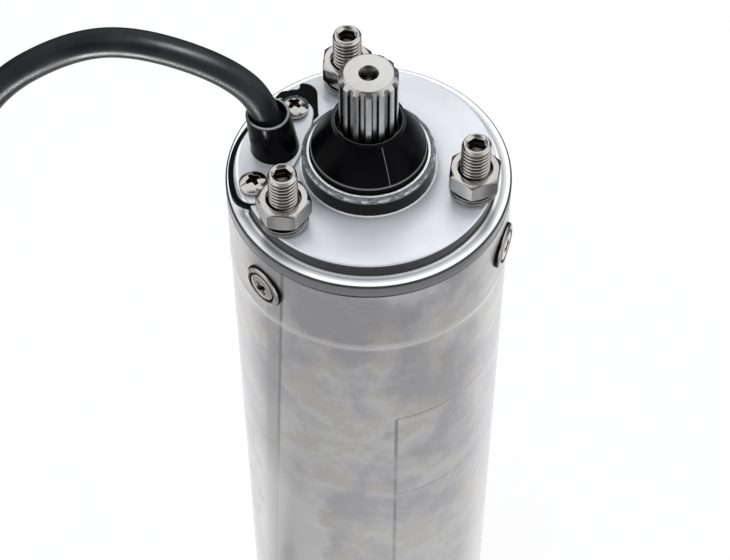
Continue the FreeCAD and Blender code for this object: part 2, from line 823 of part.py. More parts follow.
# Shaft seal
def make_seal_housing():
    body = new_body("seal_housing")
    socket = "(socket_od / 2)"
    collar = "(collar_od / 2)"
    floor = "(%s - slinger_well)" % COLLAR_TOP
    outline = [
        ("housing_bore / 2", HOUSING_LOW),
        (socket, HOUSING_LOW),
        (socket, PLATE),
        (collar, PLATE),
        (collar, COLLAR_TOP),
        ("collar_id / 2", COLLAR_TOP),
        ("collar_id / 2", floor),
        ("seal_chamber / 2", floor),
        ("seal_chamber / 2", LIP_SEAL_LOW),
        ("housing_bore / 2", LIP_SEAL_LOW),
    ]
    turn(body, "housing_blank", outline)
    round_rings(body, "collar_edge_round", "collar_round", [(collar, COLLAR_TOP)])


def make_lip_seal():
    body = new_body("lip_seal")
    outer = "(seal_chamber / 2 - fit_gap)"
    lip = "(seal_journal / 2 + seal_gap)"
    heel = "(housing_bore / 2)"
    outline = [
        (heel, LIP_SEAL_LOW),
        (outer, LIP_SEAL_LOW),
        (outer, SEAT_LOW),
        (heel + " + lip_width", SEAT_LOW),
        (lip, LIP_SEAL_LOW + " + lip_seal_height / 2 + lip_width"),
        (lip, LIP_SEAL_LOW + " + lip_seal_height / 2"),
    ]
    turn(body, "lip_seal_ring", outline)


def make_ring(label, inner, outer, low, high):
    """A plain ring about Z."""
    body = new_body(label)
    turn(body, label + "_ring", [(inner, low), (outer, low), (outer, high), (inner, high)])
    return body


def make_seal_rings():
    seat_top = "(%s + seat_height)" % SEAT_LOW
    make_ring("seal_seat", "(seat_id / 2)", "(seal_chamber / 2 - fit_gap)", SEAT_LOW, seat_top)
    make_ring("seal_face", "(seat_id / 2)", "(face_od / 2)", FACE_LOW, BELLOWS_LOW)
    make_ring("seal_bellows", "(seal_journal / 2 + fit_gap)", "(bellows_od / 2)", BELLOWS_LOW, HUB_LOW)


def make_slinger():
    body = new_body("sand_slinger")
    bore = "(seal_journal / 2 + fit_gap)"
    lip_top = "(body_height + lip_rise)"
    pocket = "(%s - lip_depth)" % lip_top
    outline = [
        (bore, HUB_LOW),
        ("hub_od / 2", HUB_LOW),
        ("hub_od / 2", "body_height + under_rise"),
        (SLINGER + " - skirt_wall", "body_height + under_rise"),
        (SLINGER + " - skirt_wall", "body_height + skirt_low"),
        (SLINGER, "body_height + skirt_low"),
        (SLINGER, "body_height + skirt_high"),
        ("neck_od / 2", lip_top + " - lip_thick - (lip_od - neck_od) / 2"),
        ("lip_od / 2", lip_top + " - lip_thick"),
        ("lip_od / 2", lip_top),
        ("lip_id / 2", lip_top),
        ("lip_id / 2", pocket),
        (bore, pocket),
    ]
    turn(body, "slinger_cone", outline)


# Shaft, rotor and stator
def make_shaft():
    body = new_body("shaft")
    tail = "(%s - shaft_tail)" % LOWER_LOW
    journal = "(bearing_journal / 2)"
    shoulder = "(shoulder_od / 2)"
    rotor = "(rotor_journal / 2)"
    spline = "(spline_major / 2)"
    seal = "(seal_journal / 2)"
    outline = [
        ("0", tail),
        (journal + " - tail_chamfer", tail),
        (journal, tail + " + tail_chamfer"),
        (journal, LOWER_HIGH),
        (shoulder, LOWER_HIGH),
        (shoulder, LOWER_HIGH + " + shoulder_width"),
        (rotor, LOWER_HIGH + " + shoulder_width"),
        (rotor, UPPER_LOW + " - shoulder_width"),
        (shoulder, UPPER_LOW + " - shoulder_width"),
        (shoulder, UPPER_LOW),
        (journal, UPPER_LOW),
        (journal, UPPER_HIGH),
        (seal, UPPER_HIGH),
        (seal, "body_height + spline_start"),
        (spline, "body_height + spline_start"),
        (spline, SHAFT_TOP + " - spline_chamfer"),
        (spline + " - spline_chamfer", SHAFT_TOP),
        ("0", SHAFT_TOP),
    ]
    turn(body, "shaft_blank", outline)
    clip_high = "(%s)" % LOWER_LOW
    clip_low = "(%s - circlip_thick)" % LOWER_LOW
    floor = "(circlip_groove / 2)"
    groove = [(floor, clip_low), (shoulder, clip_low), (shoulder, clip_high), (floor, clip_high)]
    turn(body, "circlip_slot", groove, cuts=True)
    cone = "(%s - centre_cone)" % SHAFT_TOP
    mouth = [
        ("0", SHAFT_TOP),
        ("centre_mouth / 2", SHAFT_TOP),
        ("centre_drill / 2", cone),
        ("centre_drill / 2", SHAFT_TOP + " - centre_depth"),
        ("0", SHAFT_TOP + " - centre_depth - centre_drill / 2"),
    ]
    turn(body, "centre_hole", mouth, cuts=True)
    gap = new_sketch(body, "spline_gap_outline", "XY_Plane", SHAFT_TOP)
    corners = [
        ("spline_root / 2", "-1 * spline_gap_root / 2"),
        ("spline_major / 2 + fit_gap", "-1 * spline_gap_top / 2"),
        ("spline_major / 2 + fit_gap", "spline_gap_top / 2"),
        ("spline_root / 2", "spline_gap_root / 2"),
    ]
    add_polygon(gap, corners)
    cut = extrude(body, "spline_gap", gap, "shaft_rise - spline_start", cuts=True)
    repeat_round(body, "spline", "spline_teeth", [cut], cuts=True)
    body.setExpression("Placement.Rotation.Angle", bound("180 / spline_teeth - 90"))


def make_circlip():
    inner = "(circlip_groove / 2 + fit_gap)"
    outer = "(circlip_od / 2)"
    body = make_ring("circlip", inner, outer, LOWER_LOW + " - circlip_thick", LOWER_LOW)
    mouth = new_sketch(body, "circlip_mouth_outline", "XY_Plane", LOWER_LOW)
    half = "circlip_mouth / 2"
    edge = outer + " + fit_gap"
    add_polygon(mouth, [("0", "-1 * " + half), (edge, "-1 * " + half), (edge, half), ("0", half)])
    extrude(body, "circlip_mouth_cut", mouth, "circlip_thick", cuts=True)


def make_bearing(name, low, high):
    """Outer race, inner race, cage and balls of one deep-groove bearing between two levels."""
    middle = "((%s + %s) / 2)" % (low, high)
    pitch = "((bearing_od + bearing_journal) / 4)"
    outer_lip = "(bearing_od / 2 - outer_race_wall)"
    inner_lip = "(bearing_journal / 2 + inner_race_wall)"
    outer = make_ring(name + "_outer_race", outer_lip, "(bearing_od / 2)", low, high)
    inner = make_ring(name + "_inner_race", "(bearing_journal / 2 + fit_gap)", inner_lip, low, high)
    for race in (outer, inner):
        before = race.Shape.Volume
        sketch = new_sketch(race, race.Label + "_track_outline", "XZ_Plane")
        add_circle(sketch, pitch, middle, "ball_size / 2 + race_gap")
        track = race.newObject("PartDesign::Groove", race.Label + "_track")
        track.Profile = sketch
        track.ReferenceAxis = (sketch, ["V_Axis"])
        track.Angle = 360
        settle(race, track, True, before)
    cage_low = middle + " - cage_width / 2"
    cage_high = middle + " + cage_width / 2"
    cage_in = "(%s - cage_wall / 2)" % pitch
    cage_out = "(%s + cage_wall / 2)" % pitch
    cage = make_ring(name + "_cage", cage_in, cage_out, cage_low, cage_high)
    pocket = drill_outwards(cage, name + "_pocket", [middle], "ball_size / 2 + race_gap", "0", "bearing_od")
    repeat_round(cage, name + "_pockets", "ball_count", [pocket], cuts=True)
    make_balls(name + "_balls", pitch, middle)


def make_balls(label, pitch, middle):
    body = new_body(label)
    sketch = new_sketch(body, label + "_outline", "XZ_Plane")
    radius = "ball_size / 2"
    centre = FreeCAD.Vector(number(pitch), number(middle), 0)
    size = number(radius)
    top = centre + FreeCAD.Vector(0, size, 0)
    side = centre + FreeCAD.Vector(size, 0, 0)
    bottom = centre - FreeCAD.Vector(0, size, 0)
    sketch.addGeometry(Part.Arc(bottom, side, top))
    sketch.addGeometry(Part.LineSegment(top, bottom))
    sketch.addConstraint(Sketcher.Constraint("Coincident", 0, 2, 1, 1))
    sketch.addConstraint(Sketcher.Constraint("Coincident", 0, 1, 1, 2))
    tie_point(sketch, 0, 3, pitch, middle)
    tie_value(sketch, "Radius", (0,), radius)
    tie_value(sketch, "DistanceX", (-1, 1, 1, 1), pitch)
    tie_value(sketch, "DistanceX", (-1, 1, 1, 2), pitch)
    ball = body.newObject("PartDesign::Revolution", label + "_ball")
    ball.Profile = sketch
    ball.ReferenceAxis = (sketch, ["Edge2"])
    ball.Angle = 360
    settle(body, ball, False, 0.0)
    repeat_round(body, label + "_circle", "ball_count")


def make_stator():
    body = make_ring("stator_core", "(stator_bore / 2)", SPIGOT, "core_level", CORE_TOP)
    slot = new_sketch(body, "slot_outline", "XY_Plane", CORE_TOP)
    corners = [
        ("stator_bore / 2 - fit_gap", "-1 * slot_mouth / 2"),
        ("slot_low / 2 - slot_mouth / 2", "-1 * slot_mouth / 2"),
        ("slot_low / 2", "-1 * slot_low_width / 2"),
        ("slot_high / 2", "-1 * slot_high_width / 2"),
        ("slot_high / 2", "slot_high_width / 2"),
        ("slot_low / 2", "slot_low_width / 2"),
        ("slot_low / 2 - slot_mouth / 2", "slot_mouth / 2"),
        ("stator_bore / 2 - fit_gap", "slot_mouth / 2"),
    ]
    add_polygon(slot, corners)
    cut = extrude(body, "slot", slot, STACK, cuts=True)
    repeat_round(body, "slots", "slot_count", [cut], cuts=True)


def slot_half_width(diameter):
    """Half the width that a winding fills in its slot at the given diameter, as an expression."""
    slope = "(slot_high_width - slot_low_width) / (slot_high - slot_low)"
    return "((slot_low_width + (%s - slot_low) * %s) / 2 - slot_lining)" % (diameter, slope)


def make_winding(label, inner, outer, head_outer):
    """Bars in every slot between two diameters, joined by a ring-shaped head at each end."""
    body = new_body(label)
    low = "(core_level - head_stand)"
    high = "(%s + head_stand)" % CORE_TOP
    far_low = "(core_level - head_height)"
    far_high = "(%s + head_height)" % CORE_TOP
    bevel = "head_bevel"
    heads = ((label + "_low_head", low, far_low, "+"), (label + "_high_head", high, far_high, "-"))
    inner_r = "(%s / 2)" % inner
    outer_r = "(%s / 2)" % head_outer

    def add_head(name, near, far, sign):
        outline = [
            (inner_r, near),
            (outer_r, near),
            (outer_r, "%s %s %s" % (far, sign, bevel)),
            (outer_r + " - " + bevel, far),
            (inner_r + " + " + bevel, far),
            (inner_r, "%s %s %s" % (far, sign, bevel)),
        ]
        turn(body, name, outline)

    add_head(*heads[0])
    sketch = new_sketch(body, label + "_bar_outline", "XY_Plane", low + " - head_stand")
    narrow = slot_half_width(inner)
    wide = slot_half_width(outer)
    outer_bar = "(%s / 2)" % outer
    near = inner_r + " + winding_gap"
    far = outer_bar + " - winding_gap"
    corners = [(near, "-1 * " + narrow), (far, "-1 * " + wide), (far, wide), (near, narrow)]
    add_polygon(sketch, corners)
    bar = extrude(body, label + "_bar", sketch, STACK + " + 4 * head_stand")
    repeat_round(body, label + "_bars", "slot_count", [bar])
    add_head(*heads[1])


def make_rotor():
    journal = "(rotor_journal / 2 + fit_gap)"
    surface = "(stator_bore / 2 - run_gap)"
    core = make_ring("rotor_core", journal, surface, "core_level", CORE_TOP)
    holes = drill(core, "bar_holes", [("bar_circle / 2", "0", "bar_size / 2")], CORE_TOP, STACK)
    repeat_round(core, "bar_hole_ring", "bar_count", [holes], cuts=True)
    cage = new_body("rotor_cage")
    inner = "(ring_id / 2)"
    outer = "(ring_od / 2)"
    low = "(core_level - ring_height)"
    high = "(%s + ring_height)" % CORE_TOP
    turn(cage, "cage_low_ring", [(inner, low), (outer, low), (outer, "core_level"), (inner, "core_level")])
    sketch = new_sketch(cage, "cage_bar_outline", "XY_Plane", "core_level - ring_height / 2")
    add_circle(sketch, "bar_circle / 2", "0", "bar_size / 2 - fit_gap")
    bar = extrude(cage, "cage_bar", sketch, STACK + " + ring_height")
    repeat_round(cage, "cage_bars", "bar_count", [bar])
    turn(cage, "cage_high_ring", [(inner, CORE_TOP), (outer, CORE_TOP), (outer, high), (inner, high)])


# Pressure compensator
def make_compensator():
    cup = new_body("diaphragm")
    inside = "(%s - cup_wall)" % CHAMBER
    bottom = "(cup_od / 2)"
    outline = [
        ("0", "cup_level"),
        (bottom, "cup_level"),
        (CHAMBER, CLAMP_LOW),
        (SPIGOT + " - cup_rim_gap", CLAMP_LOW),
        (SPIGOT + " - cup_rim_gap", "lower_bell_base"),
        (inside, "lower_bell_base"),
        (inside, CLAMP_LOW),
        (bottom + " - cup_wall", "cup_level + cup_wall"),
        ("0", "cup_level + cup_wall"),
    ]
    turn(cup, "diaphragm_cup", outline)
    plate = new_body("compensator_plate")
    low = "(cup_level + cup_wall + seal_gap)"
    outline = [
        ("0", low),
        ("comp_plate_od / 2", low),
        ("comp_plate_od / 2", low + " + comp_plate_thick"),
        ("comp_boss_od / 2", low + " + comp_plate_thick"),
        ("comp_boss_od / 2", low + " + comp_plate_thick + comp_boss_rise"),
        ("0", low + " + comp_plate_thick + comp_boss_rise"),
    ]
    turn(plate, "compensator_disc", outline)


# Lead flange, gasket and gland
def make_flange():
    body = new_body("lead_flange")
    sketch = in_flange_frame(new_sketch(body, "flange_outline", "XY_Plane", STEP + " + gasket_thick"))
    add_oval(sketch, "0")
    extrude(body, "flange_blank", sketch, "plate_rise - gasket_thick")
    holes = [("gland_along", "gland_out", "gland_shank / 2 + fit_gap")]
    for end in ("flange_span / 2", "-1 * flange_span / 2"):
        holes.append((end, "0", "flange_screw_shank / 2 + fit_gap"))
    drill(body, "flange_holes", holes, PLATE, "plate_rise", flange_frame=True)


def make_gasket():
    body = new_body("lead_gasket")
    sketch = in_flange_frame(new_sketch(body, "gasket_outline", "XY_Plane", STEP))
    add_oval(sketch, "(gasket_margin - fit_gap)")
    extrude(body, "gasket_blank", sketch, "gasket_thick")
    pad = in_flange_frame(new_sketch(body, "gasket_pad_outline", "XY_Plane", STEP))
    add_circle(pad, "well_along", "well_out", "well_radius - fit_gap")
    extrude(body, "gasket_pad", pad, "plate_rise - well_drop")
    room = in_flange_frame(new_sketch(body, "gasket_room_outline", "XY_Plane", PLATE))
    add_oval(room, "fit_gap")
    extrude(body, "gasket_room", room, "plate_rise - gasket_thick", cuts=True)
    holes = [("gland_along", "gland_out", "gland_shank / 2 + fit_gap")]
    for end in ("flange_span / 2", "-1 * flange_span / 2"):
        holes.append((end, "0", "flange_screw_shank / 2 + fit_gap"))
    drill(body, "gasket_holes", holes, STEP + " + gasket_thick", "gasket_thick", flange_frame=True)
    relief = [("0", "0", "socket_od / 2 + fit_gap")]
    drill(body, "gasket_relief", relief, STEP + " + gasket_thick", "gasket_thick")


def make_gland():
    body = new_body("cable_gland")
    bore = "(cable_od / 2 + fit_gap)"
    top = "(%s + gland_height)" % PLATE
    outline = [
        (bore, JOINT),
        ("gland_shank / 2", JOINT),
        ("gland_shank / 2", PLATE),
        ("gland_base / 2", PLATE),
        ("gland_waist / 2", PLATE + " + gland_foot"),
        ("gland_top / 2", top),
        ("gland_mouth / 2", top),
        ("gland_mouth / 2", top + " - gland_recess"),
        (bore, top + " - gland_recess"),
    ]
    turn(body, "gland_sleeve", outline)
    body.setExpression("Placement.Base.x", bound(GLAND_X))
    body.setExpression("Placement.Base.y", bound(GLAND_Y))


def make_flange_screws():
    body = new_body("flange_screws")
    axis = "(flange_span / 2)"
    shank = axis + " + flange_screw_shank / 2"
    head = "flange_screw_head / 2"
    top = "(%s + flange_screw_rise)" % PLATE
    outline = [
        (axis, PLATE + " - flange_screw_depth"),
        (shank, PLATE + " - flange_screw_depth"),
        (shank, PLATE),
        ("%s + %s" % (axis, head), PLATE),
        ("%s + %s" % (axis, head), top),
        (axis, top),
    ]
    turn(body, "flange_screw", outline, upright(axis))
    round_rings(body, "flange_screw_dome", "flange_screw_round", [(head, top)])
    sketch = new_sketch(body, "flange_cross_outline", "XY_Plane", top)
    add_polygon(sketch, cross(axis, "0"))
    extrude(body, "flange_cross", sketch, "cross_depth", cuts=True)
    repeat_round(body, "flange_screw_pair", "2")
    body.setExpression("Placement.Base.x", bound(FLANGE_X))
    body.setExpression("Placement.Base.y", bound(FLANGE_Y))
    body.setExpression("Placement.Rotation.Angle", bound("flange_turn"))


# Side screws and their washers
def spread_side(body, name):
    """Repeats the low side piece at the top and round the casing."""
    repeat_up(body, name + "_pair", "body_height - 2 * side_depth", "2")
    repeat_round(body, name + "_ring", "stud_count")
    face_studs(body)


def make_side_screws():
    body = new_body("side_screws")
    shank = "side_depth + side_shank / 2"
    head = "side_depth + side_head / 2"
    outline = [
        (SIDE_FACE + " - side_length", "side_depth"),
        (SIDE_FACE + " - side_length", shank),
        (SIDE_FACE + " - (side_head - side_shank) / 2", shank),
        (SIDE_FACE, head),
        (SIDE_FACE, "side_depth"),
    ]
    turn(body, "side_screw", outline, level("side_depth"))
    sketch = new_sketch(body, "side_cross_outline", "YZ_Plane", SIDE_FACE)
    add_polygon(sketch, cross("0", "side_depth"))
    extrude(body, "side_cross", sketch, "cross_depth", cuts=True)
    spread_side(body, "side_screw")


def make_cup_washers():
    body = new_body("cup_washers")
    hole = "side_depth + side_head / 2 + fit_gap"
    rim = "side_depth + cup_washer_od / 2"
    outline = [
        (SIDE_SEAL_FACE, hole + " - cup_thick"),
        (SIDE_FACE, hole),
        (SIDE_FACE, rim + " - cup_thick / 2"),
        (SIDE_FACE + " - cup_thick / 2", rim),
        (SIDE_SEAL_FACE, rim),
    ]
    turn(body, "cup_washer", outline, level("side_depth"))
    spread_side(body, "cup_washer")


def make_side_seals():
    body = new_body("side_seal_washers")
    hole = "side_depth + side_seal_id / 2"
    rim = "side_depth + cup_washer_od / 2"
    outline = [(BORE, hole), (SIDE_SEAL_FACE, hole), (SIDE_SEAL_FACE, rim), (BORE, rim)]
    turn(body, "side_seal", outline, level("side_depth"))
    drill(body, "side_seal_seat", [("0", "0", SHELL)], "side_depth * 2", "side_depth * 2")
    spread_side(body, "side_seal")


# Lead: inner wires, outer cable, coil, ties and bare cores
def make_lead_wires():
    body = new_body("lead_wires")
    low = "(%s + head_height)" % CORE_TOP
    sketch = new_sketch(body, "wire_outline", "XY_Plane", low)
    add_circle(sketch, "wire_circle / 2", "0", "wire_od / 2")
    extrude(body, "wire", sketch, "body_height + wire_rise - %s" % low)
    repeat_round(body, "wires", "wire_count")
    body.setExpression("Placement.Base.x", bound(GLAND_X))
    body.setExpression("Placement.Base.y", bound(GLAND_Y))


def rounded_route(points):
    """Straight runs joined by tangent arcs, each arc as large as its two runs allow."""
    places = [FreeCAD.Vector(*point) for point in points]
    edges = []
    radii = []
    start = places[0]
    for i in range(1, len(places) - 1):
        before = places[i] - places[i - 1]
        after = places[i + 1] - places[i]
        shorter = min(before.Length, after.Length)
        before.normalize()
        after.normalize()
        turn_angle = before.getAngle(after)
        radii.append(ARC_SHARE * shorter / math.tan(turn_angle / 2))
        arc_start = places[i] - before * (ARC_SHARE * shorter)
        arc_end = places[i] + after * (ARC_SHARE * shorter)
        inward = after - before
        inward.normalize()
        centre_distance = radii[-1] / math.cos(turn_angle / 2)
        middle = places[i] + inward * (centre_distance - radii[-1])
        edges.append(Part.LineSegment(start, arc_start).toShape())
        edges.append(Part.Arc(arc_start, middle, arc_end).toShape())
        start = arc_end
    edges.append(Part.LineSegment(start, places[-1]).toShape())
    return Part.Wire(edges), radii


def tube_along(points, radius):
    """A round solid tube along the rounded route, with a check of its volume."""
    path, radii = rounded_route(points)
    first = FreeCAD.Vector(*points[0])
    direction = FreeCAD.Vector(*points[1]) - first
    ring = Part.Wire([Part.Circle(first, direction, radius).toShape()])
    tube = path.makePipeShell([ring], True, False)
    expected = math.pi * radius**2 * path.Length
    if abs(tube.Volume - expected) > TUBE_ERROR * expected:
        raise ValueError("the tube holds %.1f, not %.1f cubic millimetres" % (tube.Volume, expected))
    return tube, path.Length, radii


def add_shape(label, shape):
    feature = doc.addObject("Part::Feature", label)
    feature.Label = label
    feature.Shape = shape
    PARTS.append(feature)
    return feature


def make_cable():
    """The lead down to its coil, and the short tail that leaves the coil's front, both ending on its skin."""
    coil = make_coil()
    tube, length, radii = tube_along(CABLE_ROUTE, number(CABLE))
    add_shape("motor_cable", tube.cut(coil.Shape))
    print("cable tube %.1f mm, radii %s" % (length, [round(radius, 1) for radius in radii]))
    start = FreeCAD.Vector(number("coil_x"), number(TAIL_Y), number(TAIL_Z))
    tail = Part.makeCylinder(number(CABLE), number("tail_length"), start, FreeCAD.Vector(-1, 0, 0))
    add_shape("cable_tail", tail.cut(coil.Shape))


def make_cores():
    """Bare cores beyond the tail, and a ferrule crimped over the end of each."""
    x = "(coil_x - tail_length)"
    body = new_body("cable_cores")
    sketch = new_sketch(body, "core_outline", "YZ_Plane", x + " - core_length")
    add_core_circles(sketch, "wire_od / 2")
    extrude(body, "cores", sketch, "core_length")
    body = new_body("core_ferrules")
    sketch = new_sketch(body, "ferrule_outline", "YZ_Plane", x + " - core_length - ferrule_length")
    add_core_circles(sketch, "ferrule_od / 2")
    extrude(body, "ferrules", sketch, "ferrule_length")


def add_core_circles(sketch, radius):
    """One circle for each core, evenly round the tail's centre line."""
    for i in range(int(number("wire_count"))):
        angle = "((%d + 0.5) * 360 / wire_count)" % i
        across = "%s + core_circle / 2 * cos(%s)" % (TAIL_Y, angle)
        up = "%s + core_circle / 2 * sin(%s)" % (TAIL_Z, angle)
        add_circle(sketch, across, up, radius)


def make_coil():
    body = new_body("cable_coil")
    inner = "(coil_inner_turn - cable_od / 2)"
    outer = "(coil_inner_turn + cable_od * 3 / 2)"
    low = "coil_lift"
    outline = [
        (inner + " + coil_corner", low),
        (outer + " - coil_corner", low),
        (outer, low + " + coil_corner"),
        (outer, COIL_TOP + " - coil_corner"),
        (outer + " - coil_corner", COIL_TOP),
        (inner + " + coil_corner", COIL_TOP),
        (inner, COIL_TOP + " - coil_corner"),
        (inner, low + " + coil_corner"),
    ]
    turn(body, "coil_ring", outline)
    body.setExpression("Placement.Base.x", bound("coil_x"))
    body.setExpression("Placement.Base.y", bound("coil_y"))
    doc.recompute()
    return body


def make_coil_ties():
    """Two straps round the coil, on opposite sides of it."""
    body = new_body("coil_ties")
    inner = "(coil_inner_turn - cable_od / 2 - tie_gap)"
    outer = "(coil_inner_turn + cable_od * 3 / 2 + tie_gap)"
    low = "(coil_lift - tie_gap)"
    high = "(%s + tie_gap)" % COIL_TOP
    sketch = new_sketch(body, "tie_outline", "XZ_Plane", "-1 * tie_width / 2")
    outside = [
        (inner + " - tie_thick", low + " - tie_thick"),
        (outer + " + tie_thick", low + " - tie_thick"),
        (outer + " + tie_thick", high + " + tie_thick"),
        (inner + " - tie_thick", high + " + tie_thick"),
    ]
    add_polygon(sketch, outside)
    add_polygon(sketch, [(inner, low), (outer, low), (outer, high), (inner, high)])
    extrude(body, "tie", sketch, "tie_width")
    repeat_round(body, "ties", "2")
    body.setExpression("Placement.Base.x", bound("coil_x"))
    body.setExpression("Placement.Base.y", bound("coil_y"))


BUILDERS = [
    make_casing,
    make_top_cover,
    make_upper_end_bell,
    make_lower_end_bell,
    make_bottom_cover,
    make_studs,
    make_nuts,
    make_spring_washers,
    make_seal_housing,
    make_lip_seal,
    make_seal_rings,
    make_slinger,
    make_shaft,
    make_circlip,
    make_stator,
    make_rotor,
    make_compensator,
    make_flange,
    make_gasket,
    make_gland,
    make_flange_screws,
    make_side_screws,
    make_cup_washers,
    make_side_seals,
    make_lead_wires,
    make_cable,
    make_coil_ties,
    make_cores,
]
for build in BUILDERS:
    build()
make_o_ring("upper_o_ring", UPPER_RING)
make_o_ring("lower_o_ring", "lower_ring_level")
make_bearing("upper", UPPER_LOW, UPPER_HIGH)
make_bearing("lower", LOWER_LOW, LOWER_HIGH)
preload_low = LOWER_LOW + " - preload_height"
make_ring("preload_washer", "(preload_id / 2)", SEAT + " - fit_gap", preload_low, LOWER_LOW)
start_outer = "(winding_split - winding_gap)"
make_winding("main_winding", "(winding_split + winding_gap)", "(slot_high - 2 * slot_lining)", MAIN_HEAD)
make_winding("start_winding", "(slot_low + 2 * slot_lining)", start_outer, start_outer)
doc.recompute()

# Nothing is written unless every object is sound
for item in doc.Objects:
    if "Invalid" in item.State or "Error" in item.State:
        raise ValueError("%s is %s" % (item.Label, item.State))
for part in PARTS:
    if part.Shape.isNull() or not part.Shape.isValid():
        raise ValueError("%s has no sound shape" % part.Label)

os.makedirs("parts", exist_ok=True)
for part in PARTS:
    part.Shape.exportStep("parts/%s.step" % part.Label)
print("%d pieces written" % len(PARTS))
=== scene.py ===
# Looks of the submersible borehole motor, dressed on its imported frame.
# The motor's sizes are millimetres until a mesh is made; the stage is in metres.
import json
import bmesh
import bpy
from math import asin, atan2, cos, pi, radians, sin, tan
from mathutils import Matrix, Vector


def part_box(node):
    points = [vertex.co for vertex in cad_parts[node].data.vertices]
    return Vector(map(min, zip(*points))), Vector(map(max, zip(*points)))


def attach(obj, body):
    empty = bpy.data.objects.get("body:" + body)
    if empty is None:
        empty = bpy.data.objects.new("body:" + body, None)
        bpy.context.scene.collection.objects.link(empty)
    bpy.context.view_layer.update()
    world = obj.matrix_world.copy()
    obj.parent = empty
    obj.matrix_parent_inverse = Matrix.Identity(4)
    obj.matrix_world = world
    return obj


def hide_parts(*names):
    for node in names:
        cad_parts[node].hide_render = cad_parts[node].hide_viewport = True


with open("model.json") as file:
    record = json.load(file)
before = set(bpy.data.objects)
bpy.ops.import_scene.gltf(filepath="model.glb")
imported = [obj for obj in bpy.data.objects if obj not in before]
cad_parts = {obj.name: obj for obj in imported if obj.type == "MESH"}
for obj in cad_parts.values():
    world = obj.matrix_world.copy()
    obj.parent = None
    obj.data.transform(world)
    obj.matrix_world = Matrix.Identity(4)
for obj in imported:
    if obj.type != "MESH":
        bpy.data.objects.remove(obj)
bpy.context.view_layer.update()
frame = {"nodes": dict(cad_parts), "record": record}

MM = 0.001
TAU = 2 * pi
WHITE = (1.0, 1.0, 1.0)


def low_of(node):
    """Lowest level of a node of the frame."""
    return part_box(node)[0].z / MM


def top_of(node):
    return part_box(node)[1].z / MM


# Levels and radii
RIM = 4.0
STEP = low_of("top_cover") + RIM
PLATE = top_of("top_cover")
JOINT = STEP - RIM
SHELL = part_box("top_cover")[1].x / MM
CORNER = 0.25
BORE = SHELL - 1.5
PLATE_EDGE = SHELL - 4.1
COLLAR_BORE = 17.2
COLLAR_OUT = 17.4
COLLAR_LIP = 16.1
COLLAR_INSIDE = 15.4
COLLAR_TOP = top_of("seal_housing")
BEAD_DEPTH = 26.4
BEAD_RISE = 0.2
BEAD_WIDTH = 4.4
SHAFT_TOP = top_of("shaft")
SHAFT_LOW = low_of("shaft")

# Studs, nuts and spring washers, with the turns of the nuts' flats and of the washers' splits
STUD_RING = 28.6
STUD_AZIMUTHS = [radians(221.4 + 120 * i) for i in range(3)]
STUD_TOP = top_of("mounting_studs") + 0.5
STUD_LOW = low_of("mounting_studs")
NUT_LOW = PLATE + 3.8
NUT_TOP = PLATE + 9.5
NUT_HALF = 6.3
NUT_TURNS = [radians(a) for a in (-95.0, -68.0, -64.0)]
SPLIT_TURNS = [radians(a) for a in (150.0, 60.0, 100.0)]

# Side screws: their levels, azimuths past the studs', and face over the casing
SIDE_LEVELS = (14.7, STEP - 14.7)
SIDE_SHIFTS = [radians(a) for a in (2.2, -1.0, 0.0)]
SIDE_FACE = 0.95

# Lead flange: centre on its azimuth, long axis turned, ends and bulges
FLANGE_AZIMUTH = radians(169.3)
FLANGE_REACH = 25.0
FLANGE_TURN = radians(68.7)
FLANGE_HALF = 13.9
FLANGE_END = 5.0
FLANGE_OUT = 9.8
FLANGE_IN = 6.9
SEAT = STEP + 1.7
GLAND_ALONG = 1.1
GLAND_OUT = 0.45

# Outline (x, y, radius) of the rubber pad behind the lead flange, in a pocket of the plate
WELL = [
    (-25.4, 22.4, 0.0), (-23.4, 25.3, 2.0), (-18.5, 25.8, 0.7), (-18.3, 28.0, 0.6), (-13.8, 27.5, 3.9),
    (-13.4, 17.6, 0.4), (-13.2, 16.4, 0.3), (-14.4, 14.9, 0.2), (-15.0, 14.9, 0.0), (-15.5, 18.6, 0.0),
    (-16.8, 21.1, 0.0), (-18.6, 22.5, 0.0), (-21.2, 22.8, 0.0),
]

# Casing marks: azimuth and lean of the seam, and the ruled frame with one rule across it
SEAM_AZIMUTH = radians(-125.7)
SEAM_LEAN = 0.001536
FRAME_LEFT = radians(-78.2)
FRAME_RIGHT = radians(28.0)
FRAME_LOW = 135.0
FRAME_RULE = 228.0
FRAME_TOP = 268.0

# Lead: its diameter, the route to the coil, and the coil on the floor
CABLE_OD = 7.6
CABLE_ROUTE = [
    (-24.6, 5.8, 331.0),
    (-25.4, 5.8, 349.0),
    (-35.5, 5.8, 363.5),
    (-58.0, 5.8, 374.5),
    (-75.0, 5.7, 372.2),
    (-96.0, 5.4, 357.0),
    (-111.0, 5.0, 325.0),
    (-118.5, 4.2, 275.0),
    (-124.0, 3.0, 215.0),
    (-130.0, 1.4, 155.0),
    (-131.5, -0.4, 105.0),
    (-128.5, -1.6, 62.0),
    (-118.5, -2.2, 35.0),
    (-101.5, -2.6, 18.5),
    (-81.0, -2.6, 12.6),
]
COIL_X = -81.0
COIL_Y = -52.0
COIL_INNER = 41.8
COIL_LIFT = 1.2
TAIL_LENGTH = 28.0
CORE_LENGTH = 16.0
CORE_OD = 2.2


# Camera
def make_camera():
    data = bpy.data.cameras.new("photo_camera")
    data.sensor_width = 36.0
    data.lens = 106.77
    data.shift_x = -0.0050
    data.shift_y = 0.0003
    data.clip_end = 20.0
    camera = bpy.data.objects.new("photo_camera", data)
    camera.location = (0.0, -0.3596, 0.7684)
    camera.rotation_euler = (radians(36.51), 0.0, 0.0)
    bpy.context.scene.collection.objects.link(camera)
    bpy.context.scene.camera = camera


